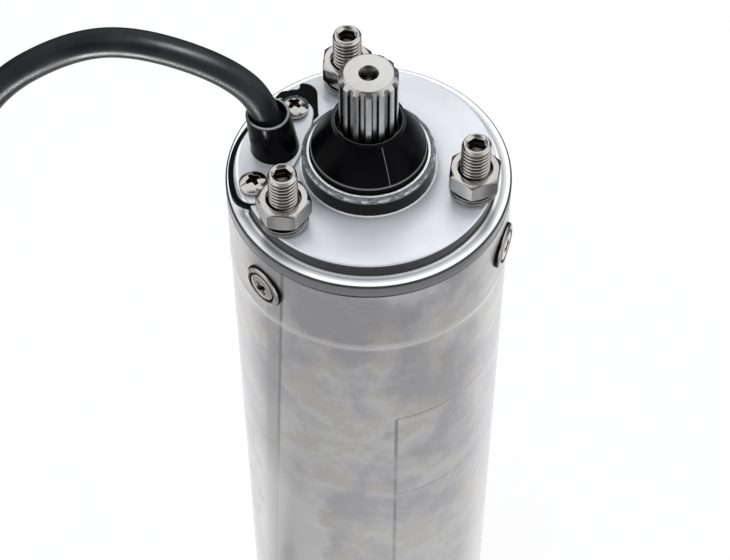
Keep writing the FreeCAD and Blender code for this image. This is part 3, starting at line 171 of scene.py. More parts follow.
# Node materials
class Nodes:
    """A node tree with short calls for the nodes that are put in it."""

    def __init__(self, tree, coordinates="Object"):
        self.tree = tree
        self.place = self.new("TexCoord").outputs[coordinates]

    def put(self, socket, value):
        """Links an output, or sets a plain number, vector or colour."""
        if isinstance(value, bpy.types.NodeSocket):
            self.tree.links.new(value, socket)
        elif socket.type == "RGBA":
            socket.default_value = (*value, 1.0)
        else:
            socket.default_value = value

    def new(self, kind, inputs=None, **settings):
        """A node of a kind, with its settings and what goes into its sockets."""
        node = self.tree.nodes.new("ShaderNode" + kind)
        for name, value in settings.items():
            setattr(node, name, value)
        for socket, value in (inputs or {}).items():
            self.put(node.inputs[socket], value)
        return node

    def math(self, operation, first, second=0.0):
        return self.new("Math", {0: first, 1: second}, operation=operation).outputs[0]

    def times(self, first, second):
        return self.math("MULTIPLY", first, second)

    def length(self, x, y):
        return self.math("SQRT", self.math("ADD", self.times(x, x), self.times(y, y)))

    def split(self):
        return self.new("SeparateXYZ", {0: self.place}).outputs

    def join(self, x, y, z):
        return self.new("CombineXYZ", {0: x, 1: y, 2: z}).outputs[0]

    def scaled(self, x, y, z):
        return self.new("Mapping", {"Vector": self.place, "Scale": (x, y, z)}).outputs[0]

    def noise(self, scale, detail=3.0, roughness=0.5, vector=None):
        inputs = {"Scale": scale, "Detail": detail, "Roughness": roughness}
        inputs["Vector"] = self.place if vector is None else vector
        return self.new("TexNoise", inputs).outputs[0]

    def span(self, value, low, high, to_low=0.0, to_high=1.0):
        """Maps a range to another, clamped and eased."""
        inputs = {"Value": value, "From Min": low, "From Max": high, "To Min": to_low, "To Max": to_high}
        return self.new("MapRange", inputs, interpolation_type="SMOOTHSTEP").outputs[0]

    def band(self, value, low, high, soft):
        """One between low and high, fading to nought over the soft width outside."""
        return self.times(self.span(value, low - soft, low), self.span(value, high, high + soft, 1.0, 0.0))

    def mix(self, factor, first, second):
        return self.new("Mix", {0: factor, 6: first, 7: second}, data_type="RGBA").outputs[2]

    def paint(self, tone, colour, mask, share=None):
        """The tone with a colour laid over it where the mask says so, thinned by the share."""
        return self.mix(mask if share is None else self.times(mask, share), tone, colour)

    def attribute(self, name):
        return self.new("Attribute", attribute_name=name).outputs["Fac"]

    def bump(self, height, rise, strength):
        inputs = {"Height": height, "Distance": rise * MM, "Strength": strength}
        return self.new("Bump", inputs).outputs[0]

    def polar(self):
        """Radius from the shaft's axis, azimuth in radians, and level."""
        x, y, z = self.split()
        return self.times(self.length(x, y), 1 / MM), self.math("ARCTAN2", y, x), self.times(z, 1 / MM)

    def blend(self, factor, first, second):
        """Mixes the outputs of two shaders."""
        return self.new("MixShader", {0: factor, 1: first, 2: second}).outputs[0]


class Shader(Nodes):
    """A principled material."""

    def __init__(self, name):
        self.material = bpy.data.materials.new(name)
        self.material.use_nodes = True
        super().__init__(self.material.node_tree)
        self.surface = self.tree.nodes["Principled BSDF"]

    def set(self, **values):
        """Sets or links the shader's own sockets."""
        for name, value in values.items():
            self.put(self.surface.inputs[name.replace("_", " ")], value)


def srgb(red, green, blue):
    """A colour given as it looks on screen, 0 to 255, as linear light."""
    shares = [v / 255 for v in (red, green, blue)]
    return tuple(((v + 0.055) / 1.055) ** 2.4 if v > 0.04 else v / 12.92 for v in shares)


# Colour of the painted shade in crevices, recesses and under parts
CREVICE_SHADE = (0.02, 0.016, 0.013)


def metal(name, colour, roughness, grain=900.0, spread=0.12, grime=CREVICE_SHADE, stretch=(1, 1, 1)):
    """Plain worked steel: slow and fine changes of tone, a fine bump, and from the mesh shade and painted
    shade in hollows and under parts.
    """
    s = Shader(name)
    s.set(Metallic=1.0)
    slow = s.noise(90.0, 4.0)
    fine = s.noise(grain, vector=s.scaled(*stretch))
    dark = tuple(v * (1 - spread * 2) for v in colour)
    pale = tuple(min(1.0, v * 1.15) for v in colour)
    tone = s.mix(s.span(slow, 0.3, 0.7), dark, colour)
    tone = s.paint(tone, pale, s.span(fine, 0.35, 0.75, 0.0, 0.35))
    # A darker tone from the mesh's shade mark, with painted shade on the nuts' flats
    tone = s.paint(tone, (0.05, 0.05, 0.056), s.attribute("shade"))
    # Painted shade in crevices, recesses and under parts, from the mesh
    tone = s.paint(tone, grime, s.attribute("grime"))
    s.set(Base_Color=tone)
    s.set(Roughness=s.span(fine, 0.3, 0.7, roughness * 0.8, roughness * 1.25))
    s.set(Normal=s.bump(fine, 0.02, 0.5))
    return s.material


def rubber(name, colour, roughness, gloss, dust):
    """Black or coloured rubber: fine bump, smudges, a few pale specks of dust, and wear and painted
    highlights from the mesh.
    """
    s = Shader(name)
    s.set(Specular_IOR_Level=gloss)
    smudge = s.noise(60.0, 5.0, 0.6)
    fine = s.noise(2500.0, 2.0)
    pale = tuple(v * 1.9 + 0.0012 for v in colour)
    tone = s.mix(s.span(smudge, 0.35, 0.7), colour, pale)
    tone = s.paint(tone, (0.12, 0.12, 0.12), s.span(s.noise(700.0, 1.0), 0.80, 0.86, 0.0, dust))
    # Wear and painted highlights from the mesh
    tone = s.paint(tone, (0.24, 0.24, 0.25), s.attribute("worn"))
    s.set(Base_Color=tone)
    s.set(Roughness=s.span(smudge, 0.3, 0.7, roughness * 0.85, roughness * 1.25))
    s.set(Normal=s.bump(fine, 0.03, 0.35))
    return s.material


def frame_lines(s, azimuth, z):
    """Mask of the ruled frame's four sides and of the rule across it."""
    half = 0.18
    turn = half / SHELL
    soft = 0.004
    smeared = 0.014
    across = s.band(azimuth, FRAME_LEFT, FRAME_RIGHT, soft)
    upright = s.band(z, FRAME_LOW, FRAME_TOP, 0.2)
    lines = [s.times(s.band(azimuth, FRAME_LEFT - turn, FRAME_LEFT + turn, smeared), upright)]
    lines.append(s.times(s.band(azimuth, FRAME_RIGHT - turn, FRAME_RIGHT + turn, soft), upright))
    for level in (FRAME_LOW, FRAME_RULE, FRAME_TOP):
        lines.append(s.times(s.band(z, level - half, level + half, 0.15), across))
    mask = lines[0]
    for line in lines[1:]:
        mask = s.math("MAXIMUM", mask, line)
    return mask


def casing_material():
    """Rolled stainless sheet: cloudy handling marks, a leaning seam, a ruled frame and a clear gloss."""
    s = Shader("casing_steel")
    s.set(Metallic=1.0, Coat_Weight=0.35, Coat_Roughness=0.25, Coat_IOR=1.5)
    s.set(Sheen_Weight=0.6, Sheen_Roughness=0.35)
    _, azimuth, z = s.polar()
    cloud = s.noise(38.0, 6.0, 0.62)
    patch = s.noise(75.0, 6.0, 0.7)
    brushed = s.noise(1.0, 4.0, 0.6, s.join(s.times(azimuth, 6.0), 0.0, s.times(z, 2.6)))
    tone = s.mix(s.span(cloud, 0.40, 0.60), srgb(186, 184, 188), srgb(228, 227, 227))
    tone = s.paint(tone, srgb(208, 204, 192), s.span(patch, 0.50, 0.60, 0.0, 0.6))
    tone = s.paint(tone, srgb(222, 221, 220), s.span(brushed, 0.35, 0.75, 0.0, 0.25))
    course = s.math("SUBTRACT", azimuth, s.times(z, SEAM_LEAN))
    middle = SEAM_AZIMUTH - SEAM_LEAN * STEP
    # Painted reflection: a darker band beside the seam
    painted_reflection_band = s.band(course, middle - 0.12, middle, 0.03)
    tone = s.paint(tone, srgb(160, 159, 160), painted_reflection_band, 0.35)
    seam = s.band(course, middle - 0.006, middle + 0.006, 0.012)
    tone = s.paint(tone, srgb(112, 111, 112), seam, s.span(z, 200.0, 280.0, 0.25, 0.6))
    # Painted highlights along the two beads
    for level in (STEP - BEAD_DEPTH, BEAD_DEPTH):
        tone = s.paint(tone, srgb(246, 245, 241), s.band(z, level - 0.3, level + 0.3, 1.4), 0.6)
    rubbed_out = s.span(s.noise(120.0), 0.3, 0.62, 0.15, 0.6)
    tone = s.paint(tone, srgb(88, 88, 92), frame_lines(s, azimuth, z), rubbed_out)
    upper_joint = s.span(z, JOINT - 0.4, JOINT - 0.1)
    lower_joint = s.span(z, RIM + 0.1, RIM + 0.4, 1.0, 0.0)
    tone = s.paint(tone, srgb(52, 50, 50), s.math("MAXIMUM", upper_joint, lower_joint), 0.8)
    # Painted light: lighter towards the bottom of the casing
    tone = s.paint(tone, srgb(240, 239, 238), s.span(z, 100.0, 270.0, 0.5, 0.0))
    # Painted light: a pale patch with a ragged edge on the lower casing, at the front-left
    ragged = s.math("ADD", azimuth, s.times(patch, 0.6))
    painted_light_patch = s.band(ragged, radians(-132.0), radians(-96.0), 0.12)
    tone = s.paint(tone, srgb(252, 251, 251), painted_light_patch, s.span(z, 210.0, 246.0, 0.7, 0.0))
    s.set(Base_Color=tone)
    s.set(Roughness=s.span(cloud, 0.3, 0.7, 0.30, 0.42))
    s.set(Normal=s.bump(s.math("ADD", s.times(brushed, 0.4), s.times(seam, -2.0)), 0.04, 0.5))
    return s.material


def cover_material():
    """Turned steel cover: satin face, faint circles from the lathe, painted shade on the wall under the
    raised plate, painted highlights and shade lines on the step and rim.
    """
    s = Shader("cover_steel")
    radius, azimuth, z = s.polar()
    turned = s.noise(1.0, 3.0, 0.6, s.join(s.times(radius, 5.2), s.times(azimuth, 1.5), 0.0))
    tone = s.mix(s.span(s.noise(45.0, 4.0), 0.3, 0.7), srgb(200, 203, 208), srgb(216, 218, 222))
    tone = s.paint(tone, srgb(232, 233, 236), s.span(turned, 0.4, 0.75, 0.0, 0.25))
    # Painted shade on the wall of the raised plate
    upright = s.band(z, STEP + 0.1, PLATE - 0.6, 0.3)
    wall = s.times(upright, s.band(radius, PLATE_EDGE - 3.4, PLATE_EDGE + 0.3, 0.2))
    tone = s.paint(tone, srgb(52, 52, 54), wall, 0.95)
    # Painted shadow along the foot of the raised plate, on the step
    on_step = s.span(z, STEP + 0.1, STEP + 0.3, 1.0, 0.0)
    foot = s.times(s.band(radius, PLATE_EDGE + 0.1, PLATE_EDGE + 0.4, 0.1), on_step)
    tone = s.paint(tone, srgb(44, 44, 46), foot, 0.9)
    # Painted highlight and reflection bands on the flat step: a white band near the plate, a grey line, a
    # white band near the rim
    crest = s.band(radius, PLATE_EDGE + 0.6, PLATE_EDGE + 1.1, 0.1)
    tone = s.paint(tone, WHITE, crest)
    painted_reflection_line = s.band(radius, PLATE_EDGE + 1.5, PLATE_EDGE + 1.8, 0.3)
    tone = s.paint(tone, srgb(172, 172, 175), painted_reflection_line, 0.85)
    painted_outer_highlight = s.band(radius, SHELL - 1.3, SHELL - 0.6, 0.4)
    tone = s.paint(tone, WHITE, painted_outer_highlight)
    # Painted shade on the rim's outer side
    side = s.span(radius, SHELL - 0.3, SHELL - 0.05)
    tone = s.paint(tone, srgb(134, 133, 135), side)
    # Painted shade line on the rim's outer rounding
    edge = s.times(s.span(z, STEP - 0.7, STEP - 0.5), s.span(radius, SHELL - 0.6, SHELL - 0.4))
    tone = s.paint(tone, srgb(50, 50, 52), edge, 0.95)
    # Painted highlight: a white ring on the plate beside the collar
    lip = s.band(radius, COLLAR_OUT + 0.05, COLLAR_OUT + 0.45, 0.15)
    tone = s.paint(tone, WHITE, lip)
    joint = s.span(z, JOINT + 0.1, JOINT + 0.4, 1.0, 0.0)
    tone = s.paint(tone, srgb(60, 58, 58), joint, 0.8)
    s.set(Base_Color=tone)
    s.set(Roughness=s.span(radius, PLATE_EDGE - 0.2, PLATE_EDGE, 0.36, 0.26))
    bare = s.span(radius, PLATE_EDGE - 0.2, PLATE_EDGE, 0.45, 0.62)
    s.set(Metallic=s.times(bare, s.math("SUBTRACT", 1.0, lip)))
    s.set(Normal=s.bump(turned, 0.01, 0.5))
    return s.material


def collar_material():
    """Dark coated collar, rubbed down to bare metal on its top edge, with painted highlights on its edges
    and a painted shade line.
    """
    s = Shader("housing_steel")
    s.set(Specular_IOR_Level=0.12)
    radius, azimuth, z = s.polar()
    scratch = s.noise(1.0, 4.0, 0.65, s.join(s.times(azimuth, 12.0), s.times(radius, 2.6), s.times(z, 2.6)))
    chip = s.noise(420.0, 4.0, 0.65)
    top = s.span(z, COLLAR_TOP - 0.6, COLLAR_TOP - 0.3)
    bare = s.times(top, s.span(chip, 0.2, 0.35, 0.9, 1.0))
    dark = s.mix(s.span(scratch, 0.4, 0.8), (0.0025, 0.0025, 0.003), (0.009, 0.009, 0.01))
    steel = s.mix(s.span(scratch, 0.35, 0.7), srgb(92, 93, 97), srgb(132, 133, 137))
    # Painted highlight on the outer edge, broken up by chips
    edge = s.band(radius, COLLAR_OUT - 0.5, COLLAR_OUT - 0.1, 0.1)
    steel = s.paint(steel, srgb(205, 206, 210), edge, s.span(chip, 0.42, 0.62, 0.0, 0.8))
    # Painted shade line just outside the lip's corner, where the form has no groove
    groove = s.band(radius, COLLAR_LIP + 0.02, COLLAR_LIP + 0.12, 0.08)
    steel = s.paint(steel, srgb(52, 52, 55), groove, 0.85)
    # Painted highlight on the lip
    lip = s.band(radius, COLLAR_INSIDE - 0.4, COLLAR_LIP - 0.08, 0.04)
    steel = s.paint(steel, srgb(240, 241, 243), lip, 0.9)
    s.set(Base_Color=s.mix(bare, dark, steel))
    s.set(Metallic=s.span(bare, 0.2, 0.6, 0.1, 0.5))
    s.set(Roughness=s.span(scratch, 0.3, 0.7, 0.22, 0.38))
    s.set(Normal=s.bump(scratch, 0.03, 0.4))
    return s.material


def slot_materials():
    """One node material for each material slot of the record."""
    slots = {
        "casing_steel": casing_material(),
        "cover_steel": cover_material(),
        "housing_steel": collar_material(),
    }
    # Colour, roughness, grain, spread of tone, colour of the painted crevice shade, and stretch of the grain
    metals = {
        "bell_iron": (srgb(98, 98, 100), 0.55, 500.0),
        "fastener_steel": (srgb(212, 210, 207), 0.14, 1400.0, 0.08, (0.022, 0.015, 0.011)),
        "shaft_steel": (srgb(220, 219, 218), 0.26, 900.0, 0.06, (0.012, 0.012, 0.013), (1, 1, 0.08)),
        "bearing_steel": (srgb(200, 202, 206), 0.12, 1600.0, 0.04),
        "cage_steel": (srgb(176, 168, 150), 0.3, 900.0),
        "spring_steel": (srgb(120, 122, 128), 0.3, 900.0),
        "lamination_steel": (srgb(128, 132, 140), 0.42, 700.0, 0.1, CREVICE_SHADE, (0.05, 0.05, 4)),
        "winding_wire": (srgb(176, 92, 48), 0.3, 700.0, 0.15, CREVICE_SHADE, (1, 1, 0.2)),
        "rotor_aluminium": (srgb(196, 198, 202), 0.4, 600.0),
        "ferrule_tin": (srgb(190, 191, 196), 0.25, 1100.0),
    }
    # Colour, roughness, gloss and dust
    rubbers = {
        "seal_rubber": ((0.0016, 0.0016, 0.002), 0.25, 0.05, 0.25),
        "slinger_rubber": ((0.0007, 0.0007, 0.0011), 0.34, 0.05, 0.3),
        "cable_rubber": ((0.0035, 0.0038, 0.0046), 0.36, 0.16, 0.3),
        "gland_rubber": ((0.0012, 0.0012, 0.0016), 0.18, 0.05, 0.2),
        "seal_ceramic": ((0.62, 0.60, 0.54), 0.25, 0.5, 0.0),
        "seal_graphite": ((0.03, 0.03, 0.032), 0.35, 0.5, 0.0),
        "tie_nylon": ((0.01, 0.01, 0.011), 0.45, 0.4, 0.1),
        "core_sheath": ((0.05, 0.022, 0.012), 0.4, 0.4, 0.0),
    }
    slots.update({name: metal(name, *values) for name, values in metals.items()})
    slots.update({name: rubber(name, *values) for name, values in rubbers.items()})
    return slots


# Forms: vertices and faces in millimetres
def clamp(value):
    return max(0.0, min(1.0, value))


def on_circle(radius, angle):
    return radius * cos(angle), radius * sin(angle)


def rounded(corners, steps=5, closed=True):
    """Points along an outline of corners (x, y, radius), with each rounded corner as an arc."""
    points = []
    count = len(corners)
    for i, (x, y, radius) in enumerate(corners):
        here = Vector((x, y))
        if radius == 0 or (not closed and i in (0, count - 1)):
            points.append((x, y))
            continue
        before = (Vector(corners[i - 1][:2]) - here).normalized()
        after = (Vector(corners[(i + 1) % count][:2]) - here).normalized()
        half = before.angle(after) / 2
        centre = here + (before + after).normalized() * radius / sin(half)
        start = here + before * radius / tan(half) - centre
        end = here + after * radius / tan(half) - centre
        sweep = atan2(start.x * end.y - start.y * end.x, start.dot(end))
        for k in range(steps + 1):
            turn = sweep * k / steps
            spin_x = start.x * cos(turn) - start.y * sin(turn)
            spin_y = start.x * sin(turn) + start.y * cos(turn)
            points.append((centre.x + spin_x, centre.y + spin_y))
    return points


def lathe(rings, around=128, start=0.0, closed=True):
    """A form about Z. A ring is (radius, level), or a function of the angle that gives them."""
    verts = []
    rows = []
    for ring in rings:
        if not callable(ring) and ring[0] == 0:
            rows.append([len(verts)])
            verts.append((0.0, 0.0, ring[1]))
            continue
        row = []
        for k in range(around):
            angle = start + TAU * k / around
            radius, level = ring(angle) if callable(ring) else ring
            row.append(len(verts))
            verts.append((*on_circle(radius, angle), level))
        rows.append(row)
    pairs = list(zip(rows, rows[1:]))
    if closed:
        pairs.append((rows[-1], rows[0]))
    faces = []
    for first, second in pairs:
        for k in range(around):
            n = (k + 1) % around
            if len(first) == 1:
                faces.append((first[0], second[n], second[k]))
            elif len(second) == 1:
                faces.append((first[k], first[n], second[0]))
            else:
                faces.append((first[k], first[n], second[n], second[k]))
    return verts, faces


def slab(loops, closed=False):
    """A form of outlines of (x, y, z), with as many points each, capped at both ends or closed to a ring."""
    count = len(loops[0])
    verts = [point for loop in loops for point in loop]
    rows = [range(base, base + count) for base in range(0, len(verts), count)]
    pairs = list(zip(rows, rows[1:]))
    faces = [] if closed else [tuple(rows[0])[::-1], tuple(rows[-1])]
    if closed:
        pairs.append((rows[-1], rows[0]))
    for first, second in pairs:
        for k in range(count):
            n = (k + 1) % count
            faces.append((first[k], first[n], second[n], second[k]))
    return verts, faces


def prism(outline, low, top):
    return slab([[(x, y, z) for x, y in outline] for z in (low, top)])


def moved(form, matrix):
    verts, faces = form
    return [tuple(matrix @ Vector(v)) for v in verts], faces


def joined(forms):
    verts = []
    faces = []
    for more_verts, more_faces in forms:
        base = len(verts)
        verts += more_verts
        faces += [tuple(base + i for i in face) for face in more_faces]
    return verts, faces


def repeated(form, places):
    return joined([moved(form, place) for place in places])


# Pieces
def new_mesh(name, form):
    """A mesh in metres from a form, with its faces turned outwards."""
    mesh = bpy.data.meshes.new(name)
    verts, faces = form
    mesh.from_pydata([tuple(c * MM for c in v) for v in verts], [], faces)
    draft = bmesh.new()
    draft.from_mesh(mesh)
    bmesh.ops.recalc_face_normals(draft, faces=draft.faces)
    draft.to_mesh(mesh)
    draft.free()
    return mesh


def new_object(name, data):
    obj = bpy.data.objects.new(name, data)
    bpy.context.scene.collection.objects.link(obj)
    return obj


def cut(form, cutter, edge=0.0):
    """The form less the cutter; edge rounds the corners that are left."""
    blank = new_object("blank", new_mesh("blank", form))
    tool = new_object("tool", new_mesh("tool", cutter))
    boolean = blank.modifiers.new("cut", "BOOLEAN")
    boolean.object = tool
    boolean.solver = "EXACT"
    boolean.use_self = True
    if edge:
        weld = blank.modifiers.new("weld", "WELD")
        weld.merge_threshold = 0.02 * MM
        bevel = blank.modifiers.new("edge", "BEVEL")
        bevel.limit_method = "ANGLE"
        bevel.angle_limit = radians(40)
        bevel.width = edge * MM
        bevel.segments = 2
        bevel.use_clamp_overlap = False
    graph = bpy.context.evaluated_depsgraph_get()
    mesh = bpy.data.meshes.new_from_object(blank.evaluated_get(graph))
    verts = [tuple(c / MM for c in v.co) for v in mesh.vertices]
    faces = [tuple(face.vertices) for face in mesh.polygons]
    bpy.data.objects.remove(blank)
    bpy.data.objects.remove(tool)
    bpy.data.meshes.remove(mesh)
    return verts, faces


def settle(obj, body, slot, *nodes):
    """Puts an object on a body and hides the nodes that it stands for; the material slot is not used."""
    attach(obj, body)
    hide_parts(*nodes)
    return obj


def piece(name, form, body, slot, node, sharp=32.0, **marks):
    """A finished piece: its mesh, smooth shading, marks on its points, material, body and node."""
    mesh = new_mesh(name, form)
    mesh.shade_smooth()
    mesh.set_sharp_from_angle(angle=radians(sharp))
    for mark, value in marks.items():
        layer = mesh.attributes.new(mark, "FLOAT", "POINT")
        layer.data.foreach_set("value", [value(v.co / MM) for v in mesh.vertices])
    mesh.materials.append(MATERIALS[slot])
    return settle(new_object(name, mesh), body, slot, node)


def framed(name, form, slot, node, **options):
    """A piece on the motor's fixed frame."""
    return piece(name, form, "motor_frame", slot, node, **options)


# Places
def about(x, y, turn=0.0):
    return Matrix.Translation((x, y, 0)) @ Matrix.Rotation(turn, 4, "Z")


def flange_place():
    return about(*on_circle(FLANGE_REACH, FLANGE_AZIMUTH), FLANGE_TURN)


def gland_place():
    shift = Matrix.Translation((GLAND_ALONG, GLAND_OUT, 0))
    return flange_place() @ shift @ Matrix.Rotation(-FLANGE_TURN, 4, "Z")


def stud_places(turns):
    """Where a piece on each stud goes, turned about the stud."""
    return [about(*on_circle(STUD_RING, azimuth), turn) for azimuth, turn in zip(STUD_AZIMUTHS, turns)]


def away_from(places, v):
    """Offset of a point from the nearest place's upright axis."""
    return min((v.xy - place.translation.xy for place in places), key=lambda away: away.length)


# Casing and covers
def make_casing():
    outer = []
    steps = 12
    for middle in (BEAD_DEPTH, STEP - BEAD_DEPTH):
        for k in range(steps + 1):
            t = k / steps - 0.5
            outer.append((SHELL + BEAD_RISE * (0.5 + 0.5 * cos(TAU * t)), middle + BEAD_WIDTH * t))
    rings = [(BORE, RIM), (SHELL - CORNER, RIM), (SHELL, RIM + CORNER)] + outer
    rings += [(SHELL, JOINT - CORNER), (SHELL - CORNER, JOINT), (BORE, JOINT)]
    framed("casing_shell", lathe(rings, 256), "casing_steel", "casing")


def oval(out_grow, in_grow, z):
    """The lead flange's outline in its own frame, grown by one amount outwards and another inwards."""
    count = 24
    sides = []
    for apex in (FLANGE_OUT, FLANGE_IN):
        radius = (FLANGE_HALF**2 + apex**2 - FLANGE_END**2) / (2 * (apex - FLANGE_END))
        sides.append((apex - radius, radius, atan2(FLANGE_HALF, radius - apex)))
    (out_centre, out_radius, out_lean), (in_centre, in_radius, in_lean) = sides
    first = pi / 2 + out_lean
    last = 3 * pi / 2 - in_lean

    def bulge(centre, radius, start, sweep):
        arc = [on_circle(radius, start + sweep * k / count) for k in range(count)]
        return [(x, centre + y, z) for x, y in arc]

    def end(side):
        arc = []
        for k in range(count):
            t = k / count if side < 0 else 1 - k / count
            reach = FLANGE_END + out_grow + (in_grow - out_grow) * t
            x, y = on_circle(reach, first + (last - first) * t)
            arc.append((side * (FLANGE_HALF - x), y, z))
        return arc

    outward = bulge(out_centre, out_radius + out_grow, pi / 2 - out_lean, 2 * out_lean)
    inward = bulge(-in_centre, in_radius + in_grow, last, 2 * in_lean)
    return outward + end(-1) + inward + end(1)


def disc(x, y, radius, z, count=32):
    around = [on_circle(radius, TAU * k / count) for k in range(count)]
    return [(x + dx, y + dy, z) for dx, dy in around]


def make_top_cover():
    corners = [
        (COLLAR_BORE + 0.05, JOINT, 0),
        (SHELL - CORNER, JOINT, 0),
        (SHELL, JOINT + CORNER, 0),
        (SHELL, STEP, 0.7),
        (PLATE_EDGE, STEP, 0.45),
        (PLATE_EDGE, PLATE, 0.6),
        (COLLAR_BORE + 0.05, PLATE, 0),
    ]
    clear = PLATE + 4
    seat = moved(slab([oval(0.95, 0.2, JOINT + 1.0), oval(0.95, 0.2, SEAT - 0.02)]), flange_place())
    recess = moved(slab([oval(1.05, 0.25, SEAT), oval(1.05, 0.25, clear)]), flange_place())
    blank = cut(lathe(rounded(corners, 6), 256), recess)
    blank = cut(blank, prism(rounded(WELL, 10), STEP, clear), 0.15)
    framed("top_cover_turned", joined([blank, seat]), "cover_steel", "top_cover", sharp=28)


def make_bottom_cover():
    spigot = BORE - 0.05
    ring_wall = 5.95
    depth = 20.0
    floor = 3.0
    vent_ring = 14.0
    vent = 2.5
    corners = [
        (0, 0, 0),
        (SHELL, 0, 0.7),
        (SHELL, RIM - CORNER, 0),
        (SHELL - CORNER, RIM, 0),
        (spigot, RIM, 0),
        (spigot, depth, 0.4),
        (spigot - ring_wall, depth, 0.4),
        (spigot - ring_wall, floor, 0.6),
        (0, floor, 0),
    ]
    blank = lathe(rounded(corners, 5, closed=False), 192, closed=False)
    centres = [on_circle(vent_ring, azimuth) for azimuth in STUD_AZIMUTHS]
    vents = [slab([disc(x, y, vent, -1), disc(x, y, vent, floor + 1)]) for x, y in centres]
    framed("bottom_cover_turned", cut(blank, joined(vents), 0.15), "cover_steel", "bottom_cover")


# Lead flange, gasket, gland and screws
def make_flange():
    edge = 0.35
    slim = 0.4
    steps = 4
    loops = [oval(-slim - 0.1, -0.1, SEAT), oval(-slim, 0, SEAT + 0.1), oval(-slim, 0, PLATE - edge)]
    for k in range(1, steps + 1):
        turn = pi / 2 * k / steps
        inset = -edge * (1 - cos(turn))
        loops.append(oval(inset - slim, inset, PLATE - edge + edge * sin(turn)))
    framed("lead_flange_plate", moved(slab(loops), flange_place()), "cover_steel", "lead_flange")


def make_gasket():
    edge = 0.25
    top = PLATE - 0.6
    out = 1.0
    inner = 0.2
    loops = [oval(out, inner, SEAT), oval(out, inner, top - edge), oval(out - edge, inner - edge, top)]
    pad = prism(rounded(WELL, 10), STEP, PLATE - 0.35)
    form = joined([moved(slab(loops), flange_place()), pad])
    framed("lead_gasket_rubber", form, "seal_rubber", "lead_gasket")


def make_gland():
    top = top_of("cable_gland")
    bore = CABLE_OD / 2 + 0.05
    root = 6.0
    corners = [
        (bore, JOINT, 0),
        (root, JOINT, 0),
        (root, PLATE, 0),
        (root + 0.45, PLATE, 0.15),
        (root + 0.3, PLATE + 1.3, 0.5),
        (root - 0.25, top, 0.45),
        (4.7, top, 0.3),
        (4.5, top - 2.5, 0.4),
        (bore, top - 2.7, 0.1),
    ]
    upright = PLATE + 1.0
    lean = 1.5 / (top - PLATE)
    verts, faces = lathe(rounded(corners), 96)
    verts = [(x - lean * max(0.0, z - upright), y, z) for x, y, z in verts]
    back = gland_place().inverted()

    # A pale ring on the top rim round the mouth: wear with a painted highlight
    def rim(v):
        local = back @ v
        off = Vector((local.x + lean * (top - upright), local.y)).length
        return max(0.0, 1 - abs(off - 5.35) / 0.4) * 0.75 if v.z > top - 0.5 else 0.0

    form = moved((verts, faces), gland_place())
    framed("cable_gland_sleeve", form, "gland_rubber", "cable_gland", worn=rim)


def cross_cutter(top, depth, arm, width):
    """A tapered cross-shaped recess, deepest at its middle."""
    levels = [
        (top + 1.0, arm * 1.3, width * 0.56),
        (top - depth * 0.35, arm, width * 0.5),
        (top - depth, arm * 0.45, width * 0.3),
    ]
    loops = []
    for level, reach, half in levels:
        corner = []
        for quarter in range(4):
            turn = Matrix.Rotation(quarter * pi / 2, 2)
            for x, y in ((reach, -half), (reach, half), (half * 1.5, half * 1.5)):
                point = turn @ Vector((x, y))
                corner.append((point.x, point.y, level))
        loops.append(corner)
    return slab(loops)


def make_flange_screws():
    rise = 3.1
    head = 3.75
    base = 0.75
    wall = 1.55
    crown = wall + 0.1
    lean = radians(38)
    cap = head / sin(lean)
    shank = 1.9
    steps = 14

    def dome(cosine):
        """Level of the head's cap where its surface leans by an angle of this cosine."""
        return crown + (rise - crown) * (cosine - cos(lean)) / (1 - cos(lean))

    rings = [
        (0, -5.3),
        (shank, -5.3),
        (shank, 0),
        (head - 0.35, 0),
        (head - 0.3, base - 0.1),
        (head - 0.1, base),
        (head, base + 0.2),
        (head, wall),
    ]
    for k in range(steps):
        t = lean * (1 - k / steps)
        rings.append((cap * sin(t), dome(cos(t))))
    rings.append((0, rise))
    screw = cut(lathe(rings, 72, closed=False), cross_cutter(rise, 1.5, 1.9, 0.95), 0.06)
    places = []
    for side, twist in ((1, -0.33), (-1, -0.66)):
        centre = Vector((side * FLANGE_HALF + 0.6, 0.35, PLATE))
        places.append(flange_place() @ Matrix.Translation(centre) @ Matrix.Rotation(twist, 4, "Z"))

    # Painted shade in the cross recess and a black ring of painted shade on the neck under the head
    def grime(v):
        off = away_from(places, v).length
        if off < 2.5:
            face = PLATE + dome(cos(asin(off / cap)))
            return clamp((face - v.z - 0.05) / 0.1)
        return 1.0 if v.z < PLATE + base - 0.02 else 0.0

    framed("flange_screw_heads", repeated(screw, places), "fastener_steel", "flange_screws", grime=grime)


# Side screws with their washers
def side_places():
    """Matrices that lay a piece built up +Z, from the casing's axis, out through each side hole."""
    out = Matrix.Rotation(pi / 2, 4, "Y")
    places = []
    for stud, shift in zip(STUD_AZIMUTHS, SIDE_SHIFTS):
        azimuth = stud + shift
        for index, level in enumerate(SIDE_LEVELS):
            spin = Matrix.Rotation(0.5 + 1.1 * index + azimuth, 4, "Z")
            places.append(Matrix.Translation((0, 0, level)) @ Matrix.Rotation(azimuth, 4, "Z") @ out @ spin)
    return places


